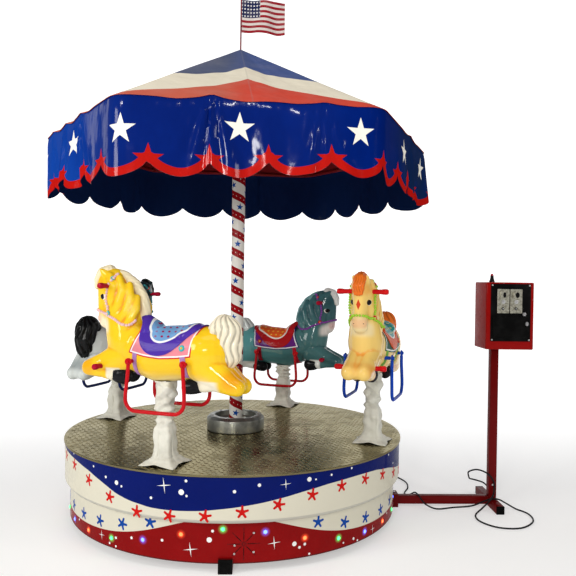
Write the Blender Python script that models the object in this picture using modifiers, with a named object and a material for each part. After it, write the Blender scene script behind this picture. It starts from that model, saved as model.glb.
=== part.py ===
"""Children's carousel with four horses, striped centre pole, tented canopy and a coin stand.

Frame: metres, +Z up, floor at z = 0, origin on the turning axis. The outrigger arm runs
along +X to the coin stand, and the loudspeaker side of the drum faces -Y.
"""
import math

import bmesh
import bpy
from mathutils import Matrix, Vector

GAP = 0.0003            # clearance between two solids that touch
RUNNING_GAP = 0.005     # clearance between turning and standing pieces

ROUND_STEPS = 64        # sides of the drum and the deck

# Standing base
TUBE = 0.060            # square tube of the floor cross
SKIRT_R = 0.844         # outer radius of the standing skirt
SKIRT_T = 0.006
SKIRT_BOTTOM = 0.036
SKIRT_TOP = 0.205
CROSS_REACH = SKIRT_R + 0.008   # half length of the floor cross
SOCKET_FACE = SKIRT_R + 0.006   # bottom of the socket that takes the outrigger arm
END_CAP_T = 0.010
SOCKET_DEPTH = 0.034    # how far the outrigger arm sits in the socket block
WALL_CLEAR = 0.030      # how far a cutter stands past the skirt's wall on each side
SPEAKER_ANGLE = -84.9   # degrees, direction of the loudspeaker slots
SPEAKER_Z = 0.119
SPEAKER_SLOTS = 8
SPEAKER_SLOT_W = 0.009
SPEAKER_SLOT_REACH = (0.016, 0.046)     # inner and outer end of a slot
SPINDLE_R = 0.044
PEDESTAL_FLANGE_R = 0.140
PEDESTAL_WAIST_R = 0.060
PEDESTAL_SEAT_R = 0.085

# Turning platform
DECK_R = 0.878
DECK_Z = 0.414
DECK_T = 0.010
DRUM_R = 0.872          # painted skirt below the deck
DRUM_T = 0.006
BOSS_R = 0.10
BOSS_BOTTOM = 0.30
COLLAR_R = 0.153
COLLAR_H = 0.077
COLLAR_RECESS_R = 0.110
COLLAR_FLOOR = 0.050
COLLAR_CHAMFER = 0.014
POLE_R = 0.035
POLE_TOP = 2.415

# Canopy
APEX_Z = 2.452
RIM_Z = 1.930
RIM_R = 1.062           # nominal corner radius of the six-sided rim
RIM_CORNERS = (1.040, 1.062, 1.062, 1.005, 1.085, 1.075)    # as the worn hoop stands now
RIM_CORNER_CUT = 0.016  # how far the bend at a corner stays inside the sharp corner
RIM_CORNER_SPAN = 3.2   # degrees on each side over which a corner bends
CANOPY_TURN = 5.54      # degrees, direction of the first corner
SCALLOP_TURN = 5.0      # degrees from the first corner to a notch between two scallops
CLOTH_T = 0.003
CLOTH_SAG = 0.012
SEAM_Z = RIM_Z - CLOTH_T - GAP
VALANCE_BOTTOM = 1.626
SCALLOP_DEPTH = 0.066
SCALLOPS_PER_SIDE = 4
RIM_COLUMNS = 36
ARM_TUBE_R = 0.009
HOOP_TUBE_R = 0.010
HOOP_INSET = 0.027      # from the rim in to the hoop's centre line
HOOP_Z = 1.928
HUB_R = 0.052           # steel hub that the canopy arms meet
HUB_TOP = POLE_TOP - 0.030
HUB_H = 0.090
FLAG_POLE_R = 0.004
FLAG_POLE_TOP = 2.735
FLAG_W = 0.235
FLAG_H = 0.175
FLAG_T = 0.003
FLAG_HEADING = 2.0      # degrees, the way the flag streams from its pole
FLAG_WAVE = 0.012

# Horses
HORSE_RADIUS = 0.750
HORSES = {              # direction in degrees, and how far below the top of its stroke
    "cream": (-21.54, 0.012), "teal": (68.46, 0.100), "grey": (158.46, 0.058),
    "yellow": (248.46, 0.0),
}
POST_R = 0.020
POST_BOTTOM = 0.250
POST_TOP = 0.860
BAR_R = 0.012
BAR_LENGTH = 0.245
HANDLE_AT = (0.262, 1.180)
KNEE_BAR_AT = (0.285, 0.829)
STIRRUP_R = 0.0075
STIRRUP_BOLTS = (0.116, -0.143)
STIRRUP_BOLT_Z = 0.861
STIRRUP_BOTTOM_Z = 0.655
STIRRUP_SIDE = 0.118
STIRRUP_SEAT = 0.070    # distance from the centre plane where a stirrup end stops
STIRRUP_SPLAY = 0.003   # how much further out the bottom bar is than the bolts
STIRRUP_FLARE = 0.010   # how much longer each end of the bottom bar is
STIRRUP_CORNER = (0.012, 0.042)     # bend at a bolt and bend at the bottom bar
BOOT_BORE = 0.024       # half side of the boot's square bore
BOOT_PROFILE = [        # height and half side of the boot, from the top down to its skirt
    (0.742, 0.042), (0.642, 0.037), (0.585, 0.036), (0.560, 0.050), (0.455, 0.050),
    (0.436, 0.066),
]
BOOT_SKIRT = 0.086      # half side where the boot meets the deck
BOOT_FOLD_Z = 0.585     # the boot folds up above this height when its horse comes down

# Coin stand
STAND_X = 1.402
STAND_TUBE = 0.043
ARM_Z = 0.035
COLLAR_BLOCK = 0.070
FOOT_BACK = 0.199
FOOT_FRONT = -0.142
BOX_LEFT = 1.317
BOX_W = 0.255
BOX_FRONT = -0.120
BOX_DEPTH = 0.190
BOX_BOTTOM = 0.866
BOX_H = 0.356
PANEL_W = 0.214
PANEL_H = 0.304
PANEL_T = 0.003
PANEL_TOP_MARGIN = 0.008
PANEL_SIDE_MARGIN = 0.023
PLATE_W = 0.064
PLATE_H = 0.127
DOOR_W = 0.194
DOOR_H = 0.112
DOOR_T = 0.004
DOOR_LOW = 0.020        # from the panel's lower edge up to the door
HINGE_R = 0.0035
CASH_LIP = 0.014        # how far the recess is set in from the door's edges
CASH_DEPTH = 0.110

# Cable from the drum to the coin stand
CABLE_R = 0.0043
GLAND_ANGLE = 48.0
GLAND_Z = 0.085
GLAND_LENGTH = 0.030
POST_GLAND_Z = 0.086
CABLE_ROUTE = [
    (0.635, 0.706, 0.075), (0.685, 0.746, 0.046), (0.752, 0.760, 0.014), (0.845, 0.712, 0.005),
    (0.935, 0.598, 0.005), (1.012, 0.430, 0.005), (1.008, 0.300, 0.005), (0.963, 0.185, 0.005),
    (0.972, 0.090, 0.030), (0.988, 0.030, 0.0605), (0.996, -0.030, 0.0605), (1.020, -0.075, 0.032),
    (1.080, -0.082, 0.008), (1.180, -0.050, 0.005), (1.280, -0.038, 0.009), (1.340, -0.043, 0.033),
    (1.380, -0.048, 0.0495), (1.424, -0.050, 0.0495), (1.462, -0.053, 0.031), (1.512, -0.075, 0.006),
    (1.550, -0.150, 0.005), (1.530, -0.260, 0.005), (1.435, -0.350, 0.005), (1.325, -0.345, 0.005),
    (1.260, -0.265, 0.005), (1.262, -0.170, 0.005), (1.325, -0.100, 0.022), (1.378, -0.070, 0.058),
    (1.406, -0.034, 0.092), (1.403, -0.0272, 0.142), (1.368, -0.030, 0.184), (1.318, -0.014, 0.200),
    (1.284, 0.024, 0.178), (1.297, 0.070, 0.142), (1.316, 0.113, 0.115), (1.330, 0.1385, 0.105),
    (1.353, 0.151, 0.097), (1.379, 0.147, 0.091), (1.397, 0.130, 0.088), (1.403, 0.105, 0.086),
]


def clear_scene():
    """Remove every object of the open file."""
    for old in list(bpy.data.objects):
        bpy.data.objects.remove(old, do_unlink=True)


def new_collection(name):
    made = bpy.data.collections.new(name)
    bpy.context.scene.collection.children.link(made)
    return made


def material(name, rgb, roughness, metallic=0.0):
    """A plain Principled material, made once for each name."""
    made = bpy.data.materials.get(name)
    if made is None:
        made = bpy.data.materials.new(name)
        made.use_nodes = True
        shader = made.node_tree.nodes["Principled BSDF"]
        shader.inputs["Base Color"].default_value = (*rgb, 1.0)
        shader.inputs["Roughness"].default_value = roughness
        shader.inputs["Metallic"].default_value = metallic
    return made


def stand_steel():
    return material("dark red steel", (0.13, 0.004, 0.005), 0.35, 0.2)


def black_plastic():
    return material("black plastic", (0.012, 0.012, 0.012), 0.5)


def plate_metal():
    return material("coin plate metal", (0.62, 0.60, 0.52), 0.3, 0.8)


def place(name, data, finish, parent=None, where=None):
    """Link mesh or curve data as a named part."""
    part = bpy.data.objects.new(name, data)
    (where or parts).objects.link(part)
    if parent is not None:
        part.parent = parent
    if finish is not None:
        if not data.materials:
            data.materials.append(finish)
        part.material_slots[0].link = "OBJECT"
        part.material_slots[0].material = finish
    return part


def mesh_part(name, shape, finish, parent=None, smooth=False):
    """Turn a bmesh into a part."""
    bmesh.ops.recalc_face_normals(shape, faces=shape.faces)
    data = bpy.data.meshes.new(name)
    shape.to_mesh(data)
    shape.free()
    if smooth:
        data.shade_smooth()
        data.set_sharp_from_angle(angle=math.radians(35))
    return place(name, data, finish, parent)


def add_box(shape, low, high):
    """Add a box between two corners to a bmesh."""
    size = Vector(high) - Vector(low)
    middle = (Vector(high) + Vector(low)) / 2
    matrix = Matrix.Translation(middle) @ Matrix.Diagonal((*size, 1.0))
    return bmesh.ops.create_cube(shape, size=1.0, matrix=matrix)["verts"]


def box_part(name, low, high, finish, round_edge=0.0):
    shape = bmesh.new()
    add_box(shape, low, high)
    part = mesh_part(name, shape, finish)
    if round_edge:
        bevel = part.modifiers.new("rounded edges", "BEVEL")
        bevel.width = round_edge
        bevel.segments = 1
    return part


def add_rod(shape, start, end, radius, end_radius=None, sides=16):
    """Add a straight rod or cone between two points to a bmesh."""
    run = Vector(end) - Vector(start)
    turn = run.to_track_quat("Z", "Y").to_matrix().to_4x4()
    matrix = Matrix.Translation((Vector(start) + Vector(end)) / 2) @ turn
    bmesh.ops.create_cone(shape, cap_ends=True, segments=sides, radius1=radius,
                          radius2=radius if end_radius is None else end_radius,
                          depth=run.length, matrix=matrix)


def rod_part(name, start, end, radius, finish, end_radius=None, sides=16, parent=None):
    shape = bmesh.new()
    add_rod(shape, start, end, radius, end_radius, sides)
    return mesh_part(name, shape, finish, parent, smooth=True)


def turned_part(name, profile, finish, steps=32, ring=False, parent=None, turn=0.0):
    """Turn a profile of (radius, z) points, listed down its outer side, about Z."""
    shape = bmesh.new()
    points = [shape.verts.new((r, 0, z)) for r, z in profile]
    pairs = zip(points, points[1:] + points[:1]) if ring else zip(points, points[1:])
    for a, b in pairs:
        shape.edges.new((a, b))
    data = bpy.data.meshes.new(name)
    shape.to_mesh(data)
    shape.free()
    data.transform(Matrix.Rotation(math.radians(turn), 4, "Z"))
    part = place(name, data, finish, parent)
    screw = part.modifiers.new("turned", "SCREW")
    screw.steps = steps
    screw.render_steps = steps
    screw.use_merge_vertices = True
    screw.merge_threshold = 0.00001
    screw.use_smooth_shade = False
    return part


def tube_part(name, points, radius, finish, parent=None, resolution=2):
    """A round tube along a list of points, with filled ends."""
    data = bpy.data.curves.new(name, "CURVE")
    data.dimensions = "3D"
    data.bevel_depth = radius
    data.bevel_resolution = resolution
    data.use_fill_caps = True
    spline = data.splines.new("POLY")
    spline.points.add(len(points) - 1)
    for knot, point in zip(spline.points, points):
        knot.co = (*point, 1.0)
    return place(name, data, finish, parent)


def cutter(name, shape, parent=None):
    """A hidden cutting body."""
    bmesh.ops.recalc_face_normals(shape, faces=shape.faces)
    data = bpy.data.meshes.new(name)
    shape.to_mesh(data)
    shape.free()
    tool = place(name, data, None, parent, cutters)
    tool.display_type = "WIRE"
    tool.hide_render = True
    return tool


def cut(part, tool):
    boolean = part.modifiers.new("cut " + tool.name, "BOOLEAN")
    boolean.operation = "DIFFERENCE"
    boolean.object = tool


def join(part, tool):
    boolean = part.modifiers.new("join " + tool.name, "BOOLEAN")
    boolean.operation = "UNION"
    boolean.object = tool


def bore_radius(radius, sides):
    """Corner radius of a many-sided bore that clears a round piece all the way round."""
    return (radius + GAP) / math.cos(math.pi / sides)


def on_circle(radius, degrees, z=0.0):
    turn = math.radians(degrees)
    return Vector((radius * math.cos(turn), radius * math.sin(turn), z))


def smooth_route(points, lowest, per_span=2):
    """Points on a Catmull-Rom curve through a route that nowhere dips below a height."""
    knots = [Vector(p) for p in points]
    knots = [2 * knots[0] - knots[1]] + knots + [2 * knots[-1] - knots[-2]]
    route = []
    for a, b, c, d in zip(knots, knots[1:], knots[2:], knots[3:]):
        for step in range(per_span):
            t = step / per_span
            route.append(0.5 * (2 * b + (c - a) * t + (2 * a - 5 * b + 4 * c - d) * t ** 2
                                + (3 * b - a - 3 * c + d) * t ** 3))
    route.append(knots[-2])
    return [Vector((point.x, point.y, max(point.z, lowest))) for point in route]


def rounded_path(points, radii, steps=3):
    """A path through points with each inner corner rounded to its own radius."""
    path = [Vector(points[0])]
    for before, corner, after, radius in zip(points, points[1:], points[2:], radii):
        corner = Vector(corner)
        start = corner + (Vector(before) - corner).normalized() * radius
        end = corner + (Vector(after) - corner).normalized() * radius
        for step in range(steps + 1):
            t = step / steps
            path.append((1 - t) ** 2 * start + 2 * t * (1 - t) * corner + t ** 2 * end)
    path.append(Vector(points[-1]))
    return path


def rim_radius(degrees):
    """Distance from the axis to the canopy rim: straight sides with bent corners."""
    side, off = divmod((degrees - CANOPY_TURN) % 360.0, 60.0)
    start = RIM_CORNERS[int(side) % 6]
    end = RIM_CORNERS[(int(side) + 1) % 6]
    straight = (start * end * math.sin(math.radians(60.0))
                / (start * math.sin(math.radians(off)) + end * math.sin(math.radians(60.0 - off))))
    near = max(0.0, 1.0 - min(off, 60.0 - off) / RIM_CORNER_SPAN)
    return straight - RIM_CORNER_CUT * near ** 2


# Standing base

def make_base():
    """Floor cross with its socket for the outrigger, and three end caps."""
    steel = stand_steel()
    plastic = black_plastic()
    half = TUBE / 2
    inner_face = SKIRT_R - SKIRT_T + 0.001
    frame = box_part("base_frame", (-CROSS_REACH, -half, 0), (SKIRT_R - 0.004, half, TUBE), steel)
    cross = bmesh.new()
    add_box(cross, (-half, -CROSS_REACH, 0), (half, CROSS_REACH, TUBE))
    join(frame, cutter("cross_tube", cross))
    block = bmesh.new()
    side = COLLAR_BLOCK / 2
    mouth = SOCKET_FACE + SOCKET_DEPTH
    add_box(block, (inner_face, -side, 0), (mouth, side, COLLAR_BLOCK))
    join(frame, cutter("socket_block", block))
    bore = bmesh.new()
    inner = STAND_TUBE / 2 + GAP
    add_box(bore, (SOCKET_FACE, -inner, ARM_Z - inner), (mouth + 0.020, inner, ARM_Z + inner))
    cut(frame, cutter("socket_bore", bore))
    start = CROSS_REACH + GAP
    end = start + END_CAP_T
    box_part("end_cap_front", (-half, -end, 0), (half, -start, TUBE), plastic, 0.003)
    box_part("end_cap_back", (-half, start, 0), (half, end, TUBE), plastic, 0.003)
    box_part("end_cap_left", (-end, -half, 0), (-start, half, TUBE), plastic, 0.003)


def make_pedestal():
    """Turned pedestal on the cross, with the spindle that the platform's boss runs on."""
    base = TUBE + GAP
    seat = BOSS_BOTTOM - GAP
    spindle_top = DECK_Z - DECK_T - 0.014
    turned_part("bearing_pedestal", [
        (0, spindle_top), (SPINDLE_R, spindle_top), (SPINDLE_R, seat),
        (PEDESTAL_SEAT_R, seat), (PEDESTAL_SEAT_R, seat - 0.030), (PEDESTAL_WAIST_R, seat - 0.050),
        (PEDESTAL_WAIST_R, base + 0.015), (PEDESTAL_FLANGE_R, base + 0.015),
        (PEDESTAL_FLANGE_R, base), (0, base)], stand_steel(), 24)


def make_base_skirt():
    """Painted standing skirt with notches over the cross and loudspeaker slots."""
    paint = material("skirt paint", (0.6, 0.02, 0.02), 0.25)
    inner = SKIRT_R - SKIRT_T
    skirt = turned_part("base_skirt", [
        (inner, SKIRT_TOP), (SKIRT_R, SKIRT_TOP), (SKIRT_R, SKIRT_BOTTOM), (inner, SKIRT_BOTTOM)],
        paint, ROUND_STEPS, ring=True)
    notches = bmesh.new()
    near = SKIRT_R - WALL_CLEAR
    far = SKIRT_R + WALL_CLEAR
    for turn in range(4):
        tube = COLLAR_BLOCK if turn == 0 else TUBE
        half = tube / 2 + GAP
        verts = add_box(notches, (near, -half, -GAP), (far, half, tube + GAP))
        bmesh.ops.rotate(notches, verts=verts, cent=(0, 0, 0),
                         matrix=Matrix.Rotation(math.radians(90 * turn), 3, "Z"))
    cut(skirt, cutter("skirt_notches", notches))
    slots = bmesh.new()
    half = SPEAKER_SLOT_W / 2
    inner, outer = SPEAKER_SLOT_REACH
    for slot in range(SPEAKER_SLOTS):
        verts = add_box(slots, (near, -half, inner), (far, half, outer))
        bmesh.ops.rotate(slots, verts=verts, cent=(0, 0, 0),
                         matrix=Matrix.Rotation(math.tau * slot / SPEAKER_SLOTS, 3, "X"))
    bmesh.ops.translate(slots, verts=slots.verts, vec=(0, 0, SPEAKER_Z))
    bmesh.ops.rotate(slots, verts=slots.verts, cent=(0, 0, 0),
                     matrix=Matrix.Rotation(math.radians(SPEAKER_ANGLE), 3, "Z"))
    cut(skirt, cutter("speaker_slots", slots))


# Turning platform

def make_platform(turntable):
    """Deck plate with its bearing boss and four guide holes for the horse posts."""
    plate = material("tread plate", (0.62, 0.63, 0.64), 0.25, 1.0)
    bore = SPINDLE_R + GAP
    under = DECK_Z - DECK_T
    platform = turned_part("platform", [
        (0, DECK_Z), (DECK_R, DECK_Z), (DECK_R, under), (BOSS_R, under), (BOSS_R, BOSS_BOTTOM),
        (bore, BOSS_BOTTOM), (bore, under - 0.010), (0, under - 0.010)], plate, ROUND_STEPS,
        parent=turntable)
    holes = bmesh.new()
    for angle, _ in HORSES.values():
        foot = on_circle(HORSE_RADIUS, angle)
        add_rod(holes, foot + Vector((0, 0, under - 0.02)), foot + Vector((0, 0, DECK_Z + 0.02)),
                bore_radius(POST_R, 16))
    cut(platform, cutter("post_holes", holes))


def make_platform_skirt(turntable):
    """Painted skirt under the deck, turned in at its lower edge."""
    paint = material("drum paint", (0.02, 0.05, 0.35), 0.25)
    top = DECK_Z - DECK_T - GAP
    low = SKIRT_TOP + RUNNING_GAP
    inner = DRUM_R - DRUM_T
    turned_part("platform_skirt", [
        (inner, top), (DRUM_R, top), (DRUM_R, low + 0.016), (DRUM_R - 0.012, low),
        (inner - 0.012, low), (inner, low + 0.018)], paint, ROUND_STEPS, ring=True, parent=turntable)


def make_collar_and_pole(turntable):
    """Dished collar on the deck and the pole that stands in it."""
    casting = material("hub collar", (0.30, 0.31, 0.32), 0.35, 0.9)
    paint = material("pole paint", (0.8, 0.75, 0.65), 0.3)
    deck = DECK_Z + GAP
    bore = POLE_R + GAP
    turned_part("hub_collar", [
        (COLLAR_RECESS_R, deck + COLLAR_H), (COLLAR_R - COLLAR_CHAMFER, deck + COLLAR_H),
        (COLLAR_R, deck + COLLAR_H - COLLAR_CHAMFER), (COLLAR_R, deck), (bore, deck),
        (bore, deck + COLLAR_FLOOR), (COLLAR_RECESS_R, deck + COLLAR_FLOOR)],
        casting, 32, ring=True, parent=turntable)
    turned_part("centre_pole", [(0, POLE_TOP), (POLE_R, POLE_TOP), (POLE_R, deck), (0, deck)],
                paint, 32, parent=turntable)


# Canopy

def spun_shape(profile, columns, shape_point, closed=False):
    """Spin a profile of (radius, z) points about the axis and shape it with a function."""
    shape = bmesh.new()
    points = [shape.verts.new((r, 0, z)) for r, z in profile]
    pairs = zip(points, points[1:] + points[:1]) if closed else zip(points, points[1:])
    edges = [shape.edges.new(pair) for pair in pairs]
    bmesh.ops.spin(shape, geom=points + edges, cent=(0, 0, 0), axis=(0, 0, 1),
                   angle=math.tau, steps=columns, use_merge=True)
    bmesh.ops.rotate(shape, verts=shape.verts, cent=(0, 0, 0),
                     matrix=Matrix.Rotation(math.radians(CANOPY_TURN), 3, "Z"))
    for vert in shape.verts:
        radius = math.hypot(vert.co.x, vert.co.y)
        angle = math.degrees(math.atan2(vert.co.y, vert.co.x))
        vert.co = shape_point(radius, angle, vert.co.z)
    return shape


def cloth_part(name, shape, finish, turntable):
    """A sheet with the thickness of its cloth, added on its inner side."""
    sheet = mesh_part(name, shape, finish, turntable)
    wall = sheet.modifiers.new("cloth thickness", "SOLIDIFY")
    wall.thickness = CLOTH_T
    wall.offset = -1.0
    return sheet


def roof_point(radius, angle, z):
    """The tent: straight along its twelve ridges, sagging a little between them."""
    share = radius / RIM_R
    between = abs(math.sin(math.radians((angle - CANOPY_TURN) * 6)))
    drop = CLOTH_SAG * between * math.sin(math.pi * min(share, 1.0))
    reach = rim_radius(angle) / RIM_R
    height = APEX_Z - (APEX_Z - RIM_Z) * share
    blend = min(1.0, share * 6)
    return on_circle(radius * (blend * reach + 1 - blend), angle, height - drop)


def rim_point(radius, angle, z):
    """A point that keeps its distance from the rim all the way round."""
    return on_circle(rim_radius(angle) + radius - RIM_R, angle, z)


def valance_point(radius, angle, z):
    """The hanging border, scalloped along its lower edge."""
    side = 60.0 / SCALLOPS_PER_SIDE
    place_in_scallop = ((angle - CANOPY_TURN - SCALLOP_TURN) % side) / side
    lobe = math.sin(math.pi * place_in_scallop) ** 0.6
    down = (SEAM_Z - z) / (SEAM_Z - VALANCE_BOTTOM)
    return rim_point(radius, angle, z + down * SCALLOP_DEPTH * (1 - lobe))


def make_canopy(turntable):
    """Steel hub, arms and bent hoop, with the roof sheet and its hanging border."""
    steel = material("canopy steel", (0.35, 0.03, 0.03), 0.4, 0.5)
    roof = material("canopy roof cloth", (0.65, 0.12, 0.08), 0.35)
    border = material("canopy border cloth", (0.03, 0.09, 0.45), 0.25)
    bore = bore_radius(POLE_R, 24)
    frame = turned_part("canopy_frame", [
        (bore, HUB_TOP), (HUB_R, HUB_TOP), (HUB_R, HUB_TOP - HUB_H), (bore, HUB_TOP - HUB_H)],
        steel, 24, ring=True, parent=turntable)
    circle = [math.tau * step / 8 for step in range(8)]
    hoop = spun_shape([(RIM_R - HOOP_INSET + HOOP_TUBE_R * math.cos(turn),
                        HOOP_Z + HOOP_TUBE_R * math.sin(turn)) for turn in circle],
                      RIM_COLUMNS, rim_point, closed=True)
    join(frame, cutter("canopy_hoop", hoop, turntable))
    for side in range(6):
        arm = bmesh.new()
        start = CANOPY_TURN + 60 * side
        corner = on_circle(rim_radius(start) - HOOP_INSET, start, HOOP_Z)
        root = on_circle((POLE_R + HUB_R) / 2, start, HUB_TOP - 0.030)
        add_rod(arm, root, corner, ARM_TUBE_R, sides=8)
        join(frame, cutter(f"canopy_arm_{side}", arm, turntable))
    rows = (0.0075, RIM_R * 0.2, RIM_R * 0.6, RIM_R)
    cloth_part("canopy_roof", spun_shape([(row, APEX_Z) for row in rows], RIM_COLUMNS, roof_point),
               roof, turntable)
    hang = [(RIM_R, SEAM_Z), (RIM_R, VALANCE_BOTTOM)]
    cloth_part("canopy_valance", spun_shape(hang, RIM_COLUMNS * 4, valance_point), border, turntable)


def make_flag(turntable):
    """Thin pole on the roof's apex and a waving flag."""
    steel = material("flag pole", (0.25, 0.25, 0.26), 0.4, 0.6)
    cloth = material("flag cloth", (0.5, 0.2, 0.2), 0.7)
    foot = POLE_TOP + GAP
    rod_part("flag_pole", (0, 0, foot), (0, 0, FLAG_POLE_TOP), FLAG_POLE_R, steel, sides=12,
             parent=turntable)
    shape = bmesh.new()
    bmesh.ops.create_grid(shape, x_segments=8, y_segments=2, size=0.5)
    run = on_circle(1.0, FLAG_HEADING)
    cross = Vector((-run.y, run.x, 0))
    for vert in shape.verts:
        along = FLAG_POLE_R + GAP + (vert.co.x + 0.5) * FLAG_W
        wave = FLAG_WAVE * math.sin((vert.co.x + 0.5) * 8.0)
        height = FLAG_POLE_TOP - 0.006 - (0.5 - vert.co.y) * FLAG_H
        vert.co = run * along + cross * wave + Vector((0, 0, height))
    flag = mesh_part("flag", shape, cloth, turntable)
    wall = flag.modifiers.new("cloth thickness", "SOLIDIFY")
    wall.thickness = FLAG_T
    wall.offset = 0.0


# Horses

def add_muscle(shape, *lumps):
    """Add the convex hull of some ellipsoids, each (x, y, z, radius, half width)."""
    fresh = []
    for x, y, z, radius, width in lumps:
        matrix = Matrix.Translation((x, y, z)) @ Matrix.Diagonal((radius, width, radius, 1.0))
        made = bmesh.ops.create_uvsphere(shape, u_segments=16, v_segments=10, radius=1.0,
                                         matrix=matrix)
        fresh += made["verts"]
    hull = bmesh.ops.convex_hull(shape, input=fresh, use_existing_faces=False)
    inside = [item for item in hull["geom_interior"] if isinstance(item, bmesh.types.BMVert)]
    bmesh.ops.delete(shape, geom=inside, context="VERTS")


def horse_shape():
    """A leaping horse, head to +X, its fused legs folded under it, centred on its post."""
    shape = bmesh.new()
    add_muscle(shape, (0.180, 0, 0.925, 0.103, 0.092), (0.030, 0, 0.883, 0.116, 0.104))
    add_muscle(shape, (0.030, 0, 0.883, 0.116, 0.104), (-0.235, 0, 0.902, 0.113, 0.104))
    add_muscle(shape, (0.180, 0, 0.940, 0.100, 0.086), (0.215, 0, 1.080, 0.090, 0.066))
    add_muscle(shape, (0.215, 0, 1.080, 0.090, 0.066), (0.262, 0, 1.180, 0.080, 0.052))
    add_muscle(shape, (0.285, 0, 1.195, 0.076, 0.050), (0.310, 0, 1.048, 0.043, 0.038))
    add_muscle(shape, (0.262, 0, 1.140, 0.062, 0.050), (0.300, 0, 1.070, 0.045, 0.040))
    for side in (-1, 1):
        add_muscle(shape, (0.305, side * 0.026, 1.235, 0.022, 0.016),
                   (0.338, side * 0.030, 1.268, 0.008, 0.007))
    mane = [(0.262, 1.248, 0.026), (0.200, 1.228, 0.027), (0.148, 1.182, 0.028),
            (0.116, 1.125, 0.028), (0.106, 1.062, 0.030)]
    for (xa, za, ra), (xb, zb, rb) in zip(mane, mane[1:]):
        add_muscle(shape, (xa, 0, za, ra, 0.024), (xb, 0, zb, rb, 0.024))
    add_muscle(shape, (0.070, 0, 0.985, 0.045, 0.070), (0.100, 0, 1.005, 0.040, 0.050))
    add_muscle(shape, (-0.120, 0, 0.960, 0.050, 0.090), (-0.150, 0, 0.990, 0.040, 0.070))
    add_muscle(shape, (0.190, 0, 0.870, 0.075, 0.078), (0.368, 0, 0.814, 0.036, 0.062))
    add_muscle(shape, (0.368, 0, 0.812, 0.033, 0.060), (0.225, 0, 0.792, 0.032, 0.054))
    add_muscle(shape, (0.212, 0, 0.790, 0.034, 0.056), (0.195, 0, 0.790, 0.040, 0.062))
    add_muscle(shape, (-0.245, 0, 0.880, 0.100, 0.096), (-0.345, 0, 0.770, 0.044, 0.064))
    add_muscle(shape, (-0.343, 0, 0.764, 0.037, 0.060), (-0.200, 0, 0.768, 0.028, 0.053))
    add_muscle(shape, (-0.185, 0, 0.757, 0.029, 0.056), (-0.126, 0, 0.757, 0.031, 0.062))
    tail = [(-0.290, 1.000, 0.036, 0.034), (-0.322, 1.030, 0.040, 0.042),
            (-0.334, 0.955, 0.036, 0.046), (-0.322, 0.885, 0.031, 0.034)]
    for (xa, za, ra, wa), (xb, zb, rb, wb) in zip(tail, tail[1:]):
        add_muscle(shape, (xa, 0, za, ra, wa), (xb, 0, zb, rb, wb))
    return shape


def horse_mesh():
    """The horse as one closed body: its muscles fused, smoothed and thinned."""
    shape = horse_shape()
    data = bpy.data.meshes.new("horse form")
    shape.to_mesh(data)
    shape.free()
    form = place("horse_form", data, None, None, cutters)
    fuse = form.modifiers.new("fuse", "REMESH")
    fuse.mode = "VOXEL"
    fuse.voxel_size = 0.010
    soften = form.modifiers.new("soften", "SMOOTH")
    soften.factor = 0.5
    soften.iterations = 4
    thin = form.modifiers.new("thin", "DECIMATE")
    thin.ratio = 0.040
    thin.use_symmetry = False
    bpy.context.view_layer.update()
    evaluated = form.evaluated_get(bpy.context.evaluated_depsgraph_get())
    made = bpy.data.meshes.new_from_object(evaluated)
    made.name = "horse"
    bpy.data.objects.remove(form, do_unlink=True)
    return made


def bar_cutter(name, at, radius, parent):
    shape = bmesh.new()
    add_rod(shape, (at[0], -0.2, at[1]), (at[0], 0.2, at[1]), radius, sides=12)
    return cutter(name, shape, parent)


def make_boot(colour, angle, drop, finish, turntable):
    """Square folded sleeve over a post, from the deck up to the belly of its horse."""
    corner = math.sqrt(2)
    bore_side = BOOT_BORE * corner
    deck = DECK_Z + GAP
    top = BOOT_PROFILE[0][0]
    squash = 1 - drop / (top - BOOT_FOLD_Z)
    outer = []
    for height, half_side in BOOT_PROFILE:
        if height > BOOT_FOLD_Z:
            height = BOOT_FOLD_Z + (height - BOOT_FOLD_Z) * squash
        outer.append((half_side * corner, height))
    boot = turned_part(colour + "_horse_boot", [(bore_side, outer[0][1])] + outer
                       + [(BOOT_SKIRT * corner, deck), (bore_side, deck)],
                       finish, 4, ring=True, parent=turntable, turn=45)
    boot.location = on_circle(HORSE_RADIUS, angle)
    boot.rotation_euler.z = math.radians(angle - 90)


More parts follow.
